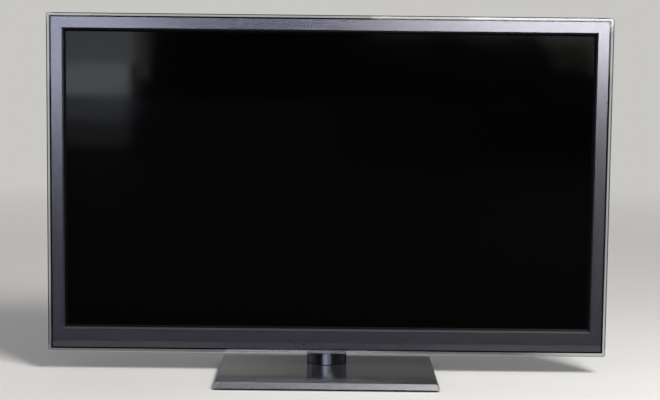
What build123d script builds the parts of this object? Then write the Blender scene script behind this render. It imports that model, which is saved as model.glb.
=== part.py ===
from build123d import *
from math import sqrt
import os

os.makedirs("parts", exist_ok=True)

# A 50-inch flat screen on a swivel stand. The viewer stands at -Y and +X is on the viewer's right.
# The origin is on the table, under the middle of the base. All lengths are in millimetres.

# Screen opening and the widths around it, as the viewer sees them
opening_width = 1111.0
opening_height = 628.0
bezel_side = 26.5
bezel_top = 26.5
bezel_bottom = 43.0
rim_side = 10.0
rim_top = 8.0
rim_bottom = 11.5
floor_to_rim = 41.0
panel_depth = 60.0

# Base and neck
base_width = 460.0
base_depth = 292.0
base_height = 16.0
neck_setback = 67.0
neck_diameter = 85.0
swivel_angle = 10.0

# Wall mount
wall_mount_pitch = 400.0
wall_mount_hole_radius = 4.0

# Fits
overrun = 1.0
seat_gap = 0.3
bearing_gap = 0.05
press_gap = 0.02

# Front bezel: a metallic moulding with an inner bevel and a lower strip that falls back
bezel_thickness = 3.0
bezel_corner = 2.5
bezel_edge = 0.8
bevel_width = 3.5
bevel_depth = 1.5
strip_height = 13.5
strip_fall = 1.8
clip_length = 16.0
clip_thickness = 2.0
clip_depth = 5.0
clip_step = 13.0
clip_across_shares = (-0.8, -0.4, 0.0, 0.4, 0.8)
clip_up_shares = (-0.6, 0.0, 0.6)

# Clear rim: a polished plate that the bezel laps over
rim_thickness = 6.0
rim_lap = 8.0
rim_corner = 5.5
rim_edge = 1.6

# Inner frame: the black moulding that carries the whole front
lip_width = 4.5
lip_depth = 3.5
frame_wall = 2.5
frame_proud = 1.5
frame_beyond_chassis = 5.0
boss_width = 8.0
boss_bite = 1.0
grille_slot_width = 3.0
grille_slot_length = 10.0
grille_slot_count = 14

# Screen stack
glass_thickness = 2.5
glass_lap = 7.0
gasket_thickness = 3.0
gasket_width = 5.0
gasket_inset = 1.0
display_plate_thickness = 2.8
display_gap = 2.7
display_step = 5.0
heat_sheet_thickness = 1.0
chassis_thickness = 1.5
chassis_lap = 2.0
chassis_bead_width = 30.0
chassis_bead_height = 4.0
chassis_bead_shares = (0.33, 0.67)

# Straps that hold the chassis to the inner frame
strap_width = 34.0
strap_thickness = 1.5
strap_overlap = 14.0
strap_top_shares = (-0.72, -0.24, 0.24, 0.72)
strap_bottom_shares = (-0.48, -0.22, 0.22, 0.48)
strap_side_shares = (0.44, 0.76)

# Rear cover: a pressed steel tray with a flat border and a deeper middle
cover_wall = 1.0
border_depth = 6.0
bulge_width_share = 0.9
bulge_low_margin = 22.5
bulge_high_margin = 18.5
bulge_slope = 18.0
bulge_corner = 26.0
bead_height = 14.0
bead_depth = 2.0
bead_width_share = 0.84
bead_up_shares = (0.52, 0.64, 0.76)
vent_width = 5.0
vent_height = 34.0
vent_pitch = 18.0
vent_row_shares = (0.9, 0.3)
vent_row_counts = (48, 44)
screw_head_radius = 4.0
screw_head_height = 2.2
screw_radius = 1.5
screw_hole_gap = 0.5
screw_sides = 6
tip_clearance = 1.0
blind_wall = 0.5
cover_top_shares = (-0.9, -0.45, 0.0, 0.45, 0.9)
cover_side_shares = (0.08, 0.5, 0.92)
cover_bottom_shares = (-0.95, -0.35, 0.35, 0.95)

# Mount rails and bushes
rail_width = 40.0
rail_height = 6.9
rail_wall = 1.5
rail_end_margin = 12.0
bush_radius = 8.0

# Circuit boards
standoff_height = 8.3
standoff_radius = 3.5
standoff_sides = 6
board_thickness = 1.6
board_gap = 12.0
board_edge = 8.0
bush_clearance = 18.0
power_board_height = 310.0
logic_board_width = 220.0
logic_board_height = 66.0
buffer_board_width = 60.0
scan_board_height = 270.0
sustain_board_height = 285.0
main_board_height = 183.0
data_board_lift = 3.0
data_board_height = 20.0
data_board_edge = 5.0
tall_share = 0.8
middle_share = 0.5
low_share = 0.2

# Terminals
side_wall_inset = 70.0
side_notch_low = 175.0
side_notch_margin = 12.0
socket_wall_rise = 32.0
notch_margin = 6.0
plate_thickness = 1.5
plate_lap = 4.0
socket_lift = 3.0
socket_proud = 0.3
socket_window_margin = 1.0
socket_length = 12.0
shell_wall = 0.6
side_socket_pitch = 21.0
side_socket_margin = 16.0
video_socket_width = 15.0
video_socket_height = 5.8
video_socket_corner = 1.5
video_socket_count = 3
data_socket_width = 13.4
data_socket_height = 6.0
data_socket_count = 2
card_slot_width = 26.0
card_slot_height = 3.6
card_slot_step = 25.0
tongue_width_share = 0.66
tongue_height_share = 0.28
tongue_setback = 1.0
network_width = 16.0
network_height = 13.5
network_offset = 30.0
aerial_radius = 4.8
aerial_bore_radius = 2.8
aerial_block = 13.0
aerial_step = 26.0
av_radius = 4.2
av_bore_radius = 1.6
av_pitch = 14.0
av_count = 6
av_step = 22.0
barrel_length = 8.0
barrel_bore_depth = 7.0
inlet_x = -300.0
inlet_width = 27.0
inlet_height = 19.5
inlet_rim = 1.6
inlet_corner = 3.0
inlet_flange = 2.0
inlet_flange_thickness = 1.5
inlet_centre_share = 0.46
inlet_length = 18.0
inlet_floor = 3.0
inlet_notch_half = 35.0
inlet_pin_width = 2.0
inlet_pin_depth = 4.0
inlet_pin_setback = 5.0
inlet_pin_offset = 7.0
inlet_pin_rise = 4.0

# Speakers
speaker_length = 200.0
speaker_outer_margin = 52.0
speaker_wall = 2.0
driver_length = 120.0
driver_width = 12.0
driver_depth = 13.0
driver_flange = 2.0
driver_lip = 1.5
driver_dish = 1.2

# Ribbons from the display to the data boards
ribbon_width = 36.0
ribbon_thickness = 0.4
ribbon_lap = 6.0
ribbon_shares = (0.164, 0.3, 0.523, 0.66, 0.797, 0.935)

# Heat sinks
sink_base = 3.0
sink_fin_thickness = 2.0
sink_fin_count = 6
sink_shares = (0.3, 0.62, 0.2, 0.85)
power_sink_shares = (0.8, 0.94, 0.1, 0.5)

# Sensor windows in the lower strip
sensor_across_shares = (-0.1235, -0.0886, -0.0592)
sensor_radii = (1.7, 1.7, 1.3)
sensor_block_height = 7.0
sensor_block_margin = 10.0
sensor_board_height = 20.0
sensor_board_thickness = 1.2
sensor_board_margin = 6.0
sensor_part_size = 6.0
sensor_part_depth = 3.2

# Keys in the side wall
key_names = (
    "power_key",
    "input_key",
    "menu_key",
    "volume_down_key",
    "volume_up_key",
    "channel_down_key",
    "channel_up_key",
)
key_row_rise = 92.0
key_pitch = 22.0
key_height = 12.0
key_depth = 5.5
power_key_radius = 4.2
key_proud = 1.0
key_gap = 0.35
key_flange = 1.2
key_stem_length = 2.3
key_stem_radius = 1.4
key_travel = 0.8
key_switch_size = 6.0
key_switch_depth = 3.2
key_board_height = 11.0
key_board_thickness = 1.2

# Neck
neck_rim_gap = 0.5
sleeve_wall = 3.0
sleeve_gap = 1.0
pole_radius = 30.0
pole_flange_thickness = 5.2
seat_drop = 1.0
seat_rise = 8.0
bracket_thickness = 4.0
bracket_width = 150.0
bracket_height = 182.0
bracket_corner = 12.0
foot_radius_inset = 4.5
gusset_thickness = 3.0
gusset_spacing = 40.0
gusset_height = 62.0
gusset_reach = 34.0
neck_cover_height = 100.0
neck_cover_wall = 2.5
neck_cover_straight = 20.0
neck_cover_top_half = 46.0
neck_cover_top_depth = 9.0
bracket_screw_spacing = 110.0
bracket_screw_rise = 60.0
bracket_screw_edge = 15.0
bracket_notch_side = 13.0
bracket_notch_top = 6.0
bracket_screw_radius = 2.5
bracket_head_radius = 5.0
bracket_head_height = 3.0
foot_bolt_radius = 3.0
foot_bolt_circle = 29.5
foot_bolt_angles = (0.0, 50.0, 130.0, 180.0)
holder_width = 164.0
holder_wall = 3.0
holder_low_rise = 6.5

# Swivel
spindle_radius = 15.0
spindle_flange_radius = 36.0
spindle_bore_radius = 6.0
thread_radius = 10.0
thrust_thickness = 3.0
thrust_radius = 26.0
running_gap = 0.3
bush_wall = 3.0
bush_length = 21.2
flange_drop = 2.5
thread_length = 9.8
nut_across_flats = 24.0
nut_height = 5.0
nut_flange_radius = 19.5
nut_flange_thickness = 2.0
cavity_radius = 20.5
stop_pin_radius = 3.0
stop_pin_circle = 31.0
stop_pin_rise = 6.5
stop_slot_depth = 4.0
stop_gap = 0.4

# Base
foot_thickness = 3.0
foot_radius = 12.0
foot_inset = 26.0
foot_columns = 3
foot_rows = 2
weight_thickness = 6.0
weight_corner = 10.0
deck_lift = 4.5
deck_wall = 3.0
deck_bevel = 5.0
deck_front_corner = 2.5
deck_back_corner = 8.0
deck_edge = 0.6
deck_hole_gap = 1.0
deck_screw_pitch = 120.0
deck_screw_rows = 190.0
deck_screw_column_shares = (-1.5, -0.5, 0.5, 1.5)
base_screw_radius = 2.0
base_head_radius = 4.0
base_head_height = 1.8
deck_boss_width = 10.0
spindle_screw_circle = 27.0

# Places that follow from the sizes above
opening_half = opening_width / 2
bezel_half = opening_half + bezel_side
rim_low = floor_to_rim
bezel_low = rim_low + rim_bottom
opening_low = bezel_low + bezel_bottom
opening_high = opening_low + opening_height
opening_mid = (opening_low + opening_high) / 2
bezel_high = opening_high + bezel_top
cabinet_low = bezel_low - frame_proud

# Depths behind the bezel's front face
rim_back = bezel_thickness + rim_thickness
shoulder_back = rim_back + frame_wall
glass_front = bezel_thickness + lip_depth
glass_back = glass_front + glass_thickness
gasket_back = glass_back + gasket_thickness
front_plate_back = gasket_back + display_plate_thickness
rear_plate_back = front_plate_back + display_plate_thickness
heat_sheet_back = rear_plate_back + heat_sheet_thickness
chassis_back = heat_sheet_back + chassis_thickness
frame_back = chassis_back + frame_beyond_chassis
border_back = frame_back + border_depth
cover_back = panel_depth
board_front = chassis_back + standoff_height
board_back = board_front + board_thickness
board_room = cover_back - cover_wall - bead_depth - board_back
neck_radius = neck_diameter / 2
neck_depth = rim_back + neck_rim_gap + neck_radius

# Where the neck's axis and the bezel's front face stand on the base
neck_y = base_depth / 2 - neck_setback
front_y = neck_y - neck_depth


def behind(depth):
    """Plane facing the viewer, this far behind the bezel's front face; its y runs up."""
    return Plane.XZ.offset(-(front_y + depth))


def span(left, right, low, high, mode=Mode.ADD):
    """Rectangle between these edges."""
    with Locations(((left + right) / 2, (low + high) / 2)):
        Rectangle(right - left, high - low, mode=mode)


def outline(side, top, bottom, corner=0, mode=Mode.ADD):
    """Rectangle around the screen opening, grown by these widths, with rounded corners."""
    with Locations((0, opening_mid + (top - bottom) / 2)):
        width = opening_width + 2 * side
        height = opening_height + top + bottom
        if corner:
            RectangleRounded(width, height, corner, mode=mode)
        else:
            Rectangle(width, height, mode=mode)


def around_bezel(grow, corner=0, mode=Mode.ADD):
    """The bezel's outline, grown all round."""
    outline(bezel_side + grow, bezel_top + grow, bezel_bottom + grow, corner, mode)


def around_opening(grow, mode=Mode.ADD):
    """The screen opening's outline, grown all round."""
    outline(grow, grow, grow, mode=mode)


# The riser is the inner frame's step that the clear rim sits around
riser_inset = rim_lap + seat_gap
riser_inner_inset = riser_inset + frame_wall
clip_gap_depth = clip_depth + seat_gap
clip_spots = []
for share in clip_across_shares:
    clip_spots.append((share * opening_half, opening_high + clip_step, clip_length, clip_thickness))
    clip_spots.append((share * opening_half, opening_low - clip_step, clip_length, clip_thickness))
for share in clip_up_shares:
    for side in (-1, 1):
        spot_height = opening_mid + share * opening_height / 2
        clip_spots.append((side * (opening_half + clip_step), spot_height, clip_thickness, clip_length))

# The three small windows lie in one row in the lower strip
sensor_block_low = bezel_low + riser_inset
sensor_height = sensor_block_low + sensor_radii[0]
sensor_spots = [(share * opening_half, sensor_height) for share in sensor_across_shares]
sensor_left = sensor_spots[0][0] - sensor_block_margin
sensor_right = sensor_spots[-1][0] + sensor_block_margin
sensor_block_high = sensor_block_low + sensor_block_height

# Front bezel
with BuildPart() as front_bezel:
    with BuildSketch(behind(bezel_thickness)):
        around_bezel(0, bezel_corner)
        around_opening(0, Mode.SUBTRACT)
    extrude(amount=bezel_thickness)
    front_edges = front_bezel.faces().sort_by(Axis.Y)[0].outer_wire().edges()
    chamfer(front_edges, bezel_edge)
    with BuildSketch(behind(bevel_depth)):
        around_opening(0)
    with BuildSketch(behind(0)):
        around_opening(bevel_width)
    loft(ruled=True, mode=Mode.SUBTRACT)
    with BuildSketch(Plane.YZ.offset(-(bezel_half + overrun))):
        with BuildLine():
            Polyline(
                (front_y, bezel_low + strip_height),
                (front_y + strip_fall, bezel_low),
                (front_y + strip_fall, bezel_low - overrun),
                (front_y - overrun, bezel_low - overrun),
                (front_y - overrun, bezel_low + strip_height),
                close=True,
            )
        make_face()
    extrude(amount=2 * (bezel_half + overrun), mode=Mode.SUBTRACT)
    for (spot_x, spot_z), radius in zip(sensor_spots, sensor_radii):
        with BuildSketch(behind(bezel_thickness + overrun)):
            with Locations((spot_x, spot_z)):
                Circle(radius + press_gap)
        extrude(amount=bezel_thickness + 2 * overrun, mode=Mode.SUBTRACT)
    with BuildSketch(behind(bezel_thickness + clip_depth)):
        for spot_x, spot_z, across, up in clip_spots:
            with Locations((spot_x, spot_z)):
                Rectangle(across, up)
    extrude(amount=clip_depth)
front_bezel.part.label = "front_bezel"
export_step(front_bezel.part, "parts/front_bezel.step")

# Clear rim
with BuildPart() as clear_rim:
    with BuildSketch(behind(rim_back)):
        outline(bezel_side + rim_side, bezel_top + rim_top, bezel_bottom + rim_bottom, rim_corner)
    extrude(amount=rim_thickness)
    rim_faces = clear_rim.faces().sort_by(Axis.Y)
    chamfer(rim_faces[0].edges() + rim_faces[-1].edges(), rim_edge)
    with BuildSketch(behind(rim_back + overrun)):
        around_bezel(-rim_lap)
    extrude(amount=rim_thickness + 2 * overrun, mode=Mode.SUBTRACT)
clear_rim.part.label = "clear_rim"
export_step(clear_rim.part, "parts/clear_rim.step")

# Screws of the rear cover and of the straps stand on bosses along the inner frame's edge
boss_inset = boss_width / 2 + frame_wall - frame_proud - boss_bite
boss_pilot_radius = screw_radius + press_gap
boss_half = bezel_half - boss_inset
boss_low = bezel_low + boss_inset
boss_high = bezel_high - boss_inset
boss_rise = boss_high - boss_low
cover_spots = [(share * boss_half, boss_high) for share in cover_top_shares]
cover_spots += [(share * boss_half, boss_low) for share in cover_bottom_shares]
strap_spots = [(share * boss_half, boss_high) for share in strap_top_shares]
strap_spots += [(share * boss_half, boss_low) for share in strap_bottom_shares]
for side in (-1, 1):
    cover_spots += [(side * boss_half, boss_low + share * boss_rise) for share in cover_side_shares]
    strap_spots += [(side * boss_half, boss_low + share * boss_rise) for share in strap_side_shares]

# Speaker boxes lie behind the bottom rail, one at each end
speaker_right = bezel_half - speaker_outer_margin
speaker_left = speaker_right - speaker_length
speaker_middle = (speaker_left + speaker_right) / 2
speaker_low = cabinet_low + frame_wall + seat_gap
display_low = opening_low - (bezel_top - riser_inner_inset - display_gap)
speaker_high = display_low - display_gap
speaker_front = shoulder_back + seat_gap
speaker_back = border_back - cover_wall - seat_gap
speaker_y = front_y + (shoulder_back + frame_back) / 2
grille_pitch = driver_length / grille_slot_count

# Keys stand in a row in the side wall on the viewer's left
side_face = -(bezel_half + frame_proud)
key_y = front_y + (shoulder_back + frame_back) / 2
key_heights = [opening_low + key_row_rise + index * key_pitch for index in range(len(key_names))]

# Inner frame
with BuildPart() as inner_frame:
    with BuildSketch(behind(shoulder_back)):
        around_bezel(-riser_inset)
    extrude(amount=shoulder_back - bezel_thickness)
    with BuildSketch(behind(frame_back)):
        around_bezel(frame_proud, bezel_corner + frame_proud)
    extrude(amount=frame_back - rim_back)
    with BuildSketch(behind(frame_back + overrun)):
        around_bezel(-riser_inner_inset)
    extrude(amount=frame_back + overrun - glass_front, mode=Mode.SUBTRACT)
    with BuildSketch(behind(frame_back + overrun)):
        around_bezel(frame_proud - frame_wall, bezel_corner)
    extrude(amount=frame_back + overrun - shoulder_back, mode=Mode.SUBTRACT)
    with BuildSketch(behind(glass_back)):
        around_opening(glass_lap + seat_gap + frame_wall)
        around_opening(glass_lap + seat_gap, Mode.SUBTRACT)
    extrude(amount=glass_thickness)
    with BuildSketch(behind(glass_front)):
        around_opening(-lip_width)
    with BuildSketch(behind(bezel_thickness)):
        around_opening(0)
    loft(ruled=True, mode=Mode.SUBTRACT)
    with BuildSketch(behind(bezel_thickness + clip_gap_depth)):
        for spot_x, spot_z, across, up in clip_spots:
            with Locations((spot_x, spot_z)):
                Rectangle(across + 2 * seat_gap, up + 2 * seat_gap)
    extrude(amount=clip_gap_depth + overrun, mode=Mode.SUBTRACT)
    with BuildSketch(behind(shoulder_back + overrun)):
        span(
            sensor_left - seat_gap,
            sensor_right + seat_gap,
            sensor_block_low - overrun,
            sensor_block_high + seat_gap,
        )
    extrude(amount=shoulder_back + 2 * overrun, mode=Mode.SUBTRACT)
    with BuildSketch(behind(border_back - cover_wall)):
        with Locations(*cover_spots):
            Rectangle(boss_width, boss_width)
            RegularPolygon(boss_pilot_radius, screw_sides, mode=Mode.SUBTRACT)
    extrude(amount=border_back - cover_wall - shoulder_back)
    with BuildSketch(behind(chassis_back)):
        with Locations(*strap_spots):
            Rectangle(boss_width, boss_width)
            RegularPolygon(boss_pilot_radius, screw_sides, mode=Mode.SUBTRACT)
    extrude(amount=chassis_back - shoulder_back)
    with BuildSketch(Plane.XY.offset(cabinet_low - overrun)):
        for side in (-1, 1):
            with Locations((side * speaker_middle, speaker_y)):
                with GridLocations(grille_pitch, 0, grille_slot_count, 1):
                    Rectangle(grille_slot_width, grille_slot_length)
    extrude(amount=frame_wall + 2 * overrun, mode=Mode.SUBTRACT)
    with BuildSketch(Plane.YZ.offset(side_face - overrun)):
        for name, height in zip(key_names, key_heights):
            with Locations((key_y, height)):
                if name == "power_key":
                    Circle(power_key_radius + key_gap)
                else:
                    Rectangle(key_depth + 2 * key_gap, key_height + 2 * key_gap)
    extrude(amount=frame_wall + 2 * overrun, mode=Mode.SUBTRACT)
inner_frame.part.label = "inner_frame"
export_step(inner_frame.part, "parts/inner_frame.step")

# Screen glass
with BuildPart() as screen_glass:
    with BuildSketch(behind(glass_back)):
        around_opening(glass_lap)
    extrude(amount=glass_thickness)
screen_glass.part.label = "screen_glass"
export_step(screen_glass.part, "parts/screen_glass.step")

# Glass gasket
with BuildPart() as glass_gasket:
    with BuildSketch(behind(gasket_back)):
        around_opening(glass_lap - gasket_inset)
        around_opening(glass_lap - gasket_inset - gasket_width, Mode.SUBTRACT)
    extrude(amount=gasket_thickness)
glass_gasket.part.label = "glass_gasket"
export_step(glass_gasket.part, "parts/glass_gasket.step")

# The display's two glass plates: the front one reaches out at the sides, the rear one up and down
display_side = bezel_side - riser_inner_inset - display_gap
display_up = bezel_top - riser_inner_inset - display_gap
with BuildPart() as display_front_plate:
    with BuildSketch(behind(front_plate_back)):
        outline(display_side, display_up - display_step, display_up - display_step)
    extrude(amount=display_plate_thickness)
display_front_plate.part.label = "display_front_plate"
export_step(display_front_plate.part, "parts/display_front_plate.step")

with BuildPart() as display_rear_plate:
    with BuildSketch(behind(rear_plate_back)):
        outline(display_side - display_step, display_up, display_up)
    extrude(amount=display_plate_thickness)
display_rear_plate.part.label = "display_rear_plate"
export_step(display_rear_plate.part, "parts/display_rear_plate.step")

# Heat-conducting sheet between the display and the chassis
with BuildPart() as heat_sheet:
    with BuildSketch(behind(heat_sheet_back)):
        around_opening(-display_step)
    extrude(amount=heat_sheet_thickness)
heat_sheet.part.label = "heat_sheet"
export_step(heat_sheet.part, "parts/heat_sheet.step")

# Edges of the deeper middle of the rear cover
bulge_half = opening_half * bulge_width_share
bulge_low = opening_low + bulge_low_margin
bulge_high = opening_high - bulge_high_margin
bulge_rise = bulge_high - bulge_low
side_wall_x = bulge_half - side_wall_inset
socket_wall_z = bulge_low + socket_wall_rise
first_socket_z = side_notch_low + side_socket_margin
video_heights = [first_socket_z + index * side_socket_pitch for index in range(video_socket_count)]
data_first = video_heights[-1] + side_socket_pitch
data_heights = [data_first + index * side_socket_pitch for index in range(data_socket_count)]
card_z = data_heights[-1] + card_slot_step
side_notch_high = card_z + card_slot_width / 2 + side_notch_margin
rail_x = wall_mount_pitch / 2

# Boards, each as its left, right, low and high edge
board_outer = bulge_half - cover_wall - bulge_slope
board_top = bulge_high - bulge_slope - board_gap
power_half = rail_x - bush_clearance
power_board_edges = (-power_half, power_half, board_top - power_board_height, board_top)
logic_high = power_board_edges[2] - board_gap
logic_half = logic_board_width / 2
logic_board_edges = (-logic_half, logic_half, logic_high - logic_board_height, logic_high)
buffer_low = socket_wall_z + board_gap
buffer_board_edges = (-board_outer, -board_outer + buffer_board_width, buffer_low, board_top)
side_board_x = rail_x + bush_clearance
scan_right = -side_board_x
scan_left = buffer_board_edges[1] + board_gap
scan_low = opening_mid - scan_board_height / 2
scan_board_edges = (scan_left, scan_right, scan_low, scan_low + scan_board_height)
sustain_board_edges = (side_board_x, board_outer, board_top - sustain_board_height, board_top)
main_low = socket_wall_z + cover_wall + plate_thickness + seat_gap
main_right = side_wall_x - cover_wall - plate_thickness - seat_gap
main_board_edges = (side_board_x, main_right, main_low, main_low + main_board_height)
raised_boards = (
    power_board_edges,
    logic_board_edges,
    buffer_board_edges,
    scan_board_edges,
    sustain_board_edges,
    main_board_edges,
)
chassis_low = opening_low - chassis_lap
chassis_half = opening_half + chassis_lap
data_low = chassis_low + data_board_edge
data_high = data_low + data_board_height
holder_half = holder_width / 2
data_board_spans = []
for side in (-1, 1):
    ends = sorted((side * (holder_half + board_gap), side * (chassis_half - board_gap)))
    data_board_spans.append((ends[0], ends[1], data_low, data_high))
data_board_front = chassis_back + data_board_lift
data_board_back = data_board_front + board_thickness


def corner_spots(edges):
    """The four places, one inside each corner, where a board stands on its posts."""
    left, right, low, high = edges
    across = (left + board_edge, right - board_edge)
    upward = (low + board_edge, high - board_edge)
    return [(x, z) for x in across for z in upward]


# Chassis plate
with BuildPart() as chassis_plate:
    with BuildSketch(behind(chassis_back)):
        around_opening(chassis_lap)
    extrude(amount=chassis_thickness)
    chassis_bead_inner = rail_x + rail_width / 2 + seat_gap
    chassis_bead_outer = chassis_half - board_gap
    with BuildSketch(behind(chassis_back + chassis_bead_height)):
        for share in chassis_bead_shares:
            bead_low = opening_low + share * opening_height
            for side in (-1, 1):
                ends = sorted((side * chassis_bead_inner, side * chassis_bead_outer))
                span(ends[0], ends[1], bead_low, bead_low + chassis_bead_width)
    extrude(amount=chassis_bead_height)
    with BuildSketch(behind(board_front)):
        for edges in raised_boards:
            with Locations(*corner_spots(edges)):
                RegularPolygon(standoff_radius, standoff_sides)
    extrude(amount=standoff_height)
    with BuildSketch(behind(data_board_front)):
        for edges in data_board_spans:
            with Locations(*corner_spots(edges)):
                RegularPolygon(standoff_radius, standoff_sides)
    extrude(amount=data_board_lift)
chassis_plate.part.label = "chassis_plate"
export_step(chassis_plate.part, "parts/chassis_plate.step")

# Panel straps, from the bosses of the inner frame to the chassis
strap_reach = boss_width / 2 - boss_bite - seat_gap
with BuildPart() as panel_straps:
    with BuildSketch(behind(chassis_back + strap_thickness)):
        for share in strap_top_shares:
            strap_left = share * boss_half - strap_width / 2
            strap_low = opening_high + chassis_lap - strap_overlap
            span(strap_left, strap_left + strap_width, strap_low, boss_high + strap_reach)
        for share in strap_bottom_shares:
            strap_left = share * boss_half - strap_width / 2
            strap_high = chassis_low + strap_overlap
            span(strap_left, strap_left + strap_width, boss_low - strap_reach, strap_high)
        for side in (-1, 1):
            ends = sorted((side * (chassis_half - strap_overlap), side * (boss_half + strap_reach)))
            for share in strap_side_shares:
                strap_low = boss_low + share * boss_rise - strap_width / 2
                span(ends[0], ends[1], strap_low, strap_low + strap_width)
    extrude(amount=strap_thickness)
panel_straps.part.label = "panel_straps"
export_step(panel_straps.part, "parts/panel_straps.step")

# Mount rails: two upright steel channels on the chassis
rail_low = chassis_low + rail_end_margin + data_board_height
rail_high = opening_high + chassis_lap - rail_end_margin - strap_overlap
with BuildPart() as mount_rails:
    with BuildSketch(behind(chassis_back + rail_height)):
        for side in (-1, 1):
            centre = side * rail_x
            span(centre - rail_width / 2, centre + rail_width / 2, rail_low, rail_high)
    extrude(amount=rail_height)
    with BuildSketch(behind(chassis_back + rail_height - rail_wall)):
        for side in (-1, 1):
            inner = side * rail_x
            inner_half = rail_width / 2 - rail_wall
            span(inner - inner_half, inner + inner_half, rail_low - overrun, rail_high + overrun)
    extrude(amount=rail_height, mode=Mode.SUBTRACT)
mount_rails.part.label = "mount_rails"
export_step(mount_rails.part, "parts/mount_rails.step")

# Wall-mount bushes, tapped, from the rails to the back face of the cover
with BuildPart() as wall_mount_bushes:
    with BuildSketch(behind(cover_back)):
        with Locations((0, opening_mid)):
            with GridLocations(wall_mount_pitch, wall_mount_pitch, 2, 2):
                Circle(bush_radius)
                Circle(wall_mount_hole_radius, mode=Mode.SUBTRACT)
    extrude(amount=cover_back - chassis_back - rail_height)
wall_mount_bushes.part.label = "wall_mount_bushes"
export_step(wall_mount_bushes.part, "parts/wall_mount_bushes.step")


def board_block(edges, shares):
    """Rectangle on a board, its edges given as shares of the board's width and height."""
    left, right, low, high = edges
    across = [left + share * (right - left) for share in shares[:2]]
    upward = [low + share * (high - low) for share in shares[2:]]
    span(*across, *upward)


# Power board with its transformers, capacitors and connectors
power_tall_shares = ((0.1, 0.28, 0.55, 0.75), (0.4, 0.56, 0.6, 0.78), (0.1, 0.24, 0.2, 0.38))
power_low_shares = ((0.06, 0.94, 0.94, 0.98), (0.7, 0.76, 0.1, 0.5), (0.35, 0.6, 0.05, 0.09))
power_can_shares = ((0.66, 0.84), (0.82, 0.84), (0.66, 0.68), (0.82, 0.68), (0.45, 0.3), (0.57, 0.3))
power_can_radius_share = 0.035
with BuildPart() as power_board:
    with BuildSketch(behind(board_back)):
        span(*power_board_edges)
    extrude(amount=board_thickness)
    with BuildSketch(behind(board_back + tall_share * board_room)):
        for shares in power_tall_shares:
            board_block(power_board_edges, shares)
    extrude(amount=tall_share * board_room)
    with BuildSketch(behind(board_back + low_share * board_room)):
        for shares in power_low_shares:
            board_block(power_board_edges, shares)
    extrude(amount=low_share * board_room)
    with BuildSketch(behind(board_back + middle_share * board_room)):
        for share_x, share_z in power_can_shares:
            can_x = -power_half + share_x * 2 * power_half
            can_z = power_board_edges[2] + share_z * power_board_height
            with Locations((can_x, can_z)):
                Circle(power_can_radius_share * power_board_height)
    extrude(amount=middle_share * board_room)
power_board.part.label = "power_board"
export_step(power_board.part, "parts/power_board.step")

# Sustain board
drive_middle_shares = ((0.08, 0.2, 0.1, 0.3), (0.08, 0.2, 0.7, 0.9), (0.7, 0.82, 0.1, 0.25))
drive_low_shares = ((0.92, 0.97, 0.05, 0.95), (0.3, 0.4, 0.02, 0.08))
with BuildPart() as sustain_board:
    with BuildSketch(behind(board_back)):
        span(*sustain_board_edges)
    extrude(amount=board_thickness)
    with BuildSketch(behind(board_back + middle_share * board_room)):
        for shares in drive_middle_shares:
            board_block(sustain_board_edges, shares)
    extrude(amount=middle_share * board_room)
    with BuildSketch(behind(board_back + low_share * board_room)):
        for shares in drive_low_shares:
            board_block(sustain_board_edges, shares)
    extrude(amount=low_share * board_room)
sustain_board.part.label = "sustain_board"
export_step(sustain_board.part, "parts/sustain_board.step")

# Scan board
with BuildPart() as scan_board:
    with BuildSketch(behind(board_back)):
        span(*scan_board_edges)
    extrude(amount=board_thickness)
    with BuildSketch(behind(board_back + middle_share * board_room)):
        for shares in drive_middle_shares:
            board_block(scan_board_edges, shares)
    extrude(amount=middle_share * board_room)
    with BuildSketch(behind(board_back + low_share * board_room)):
        for shares in drive_low_shares:
            board_block(scan_board_edges, shares)
    extrude(amount=low_share * board_room)
scan_board.part.label = "scan_board"
export_step(scan_board.part, "parts/scan_board.step")

# Scan buffer board, a tall strip of driver chips
buffer_chip_count = 8
buffer_chip_share = 0.5
buffer_across_shares = (0.3, 0.6)
with BuildPart() as scan_buffer_board:
    with BuildSketch(behind(board_back)):
        span(*buffer_board_edges)
    extrude(amount=board_thickness)
    with BuildSketch(behind(board_back + low_share * board_room)):
        for index in range(buffer_chip_count):
            chip_low = (index + (1 - buffer_chip_share) / 2) / buffer_chip_count
            chip_high = chip_low + buffer_chip_share / buffer_chip_count
            board_block(buffer_board_edges, (*buffer_across_shares, chip_low, chip_high))
    extrude(amount=low_share * board_room)
scan_buffer_board.part.label = "scan_buffer_board"
export_step(scan_buffer_board.part, "parts/scan_buffer_board.step")

# Main board
main_low_shares = ((0.35, 0.6, 0.5, 0.78), (0.1, 0.25, 0.82, 0.94), (0.08, 0.2, 0.3, 0.45))
with BuildPart() as main_board:
    with BuildSketch(behind(board_back)):
        span(*main_board_edges)
    extrude(amount=board_thickness)
    with BuildSketch(behind(board_back + low_share * board_room)):
        for shares in main_low_shares:
            board_block(main_board_edges, shares)
    extrude(amount=low_share * board_room)
main_board.part.label = "main_board"
export_step(main_board.part, "parts/main_board.step")

# Logic board
logic_low_shares = ((0.2, 0.4, 0.2, 0.7), (0.55, 0.8, 0.3, 0.6), (0.05, 0.1, 0.1, 0.9))
with BuildPart() as logic_board:
    with BuildSketch(behind(board_back)):
        span(*logic_board_edges)
    extrude(amount=board_thickness)
    with BuildSketch(behind(board_back + low_share * board_room)):
        for shares in logic_low_shares:
            board_block(logic_board_edges, shares)
    extrude(amount=low_share * board_room)
logic_board.part.label = "logic_board"
export_step(logic_board.part, "parts/logic_board.step")

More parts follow.
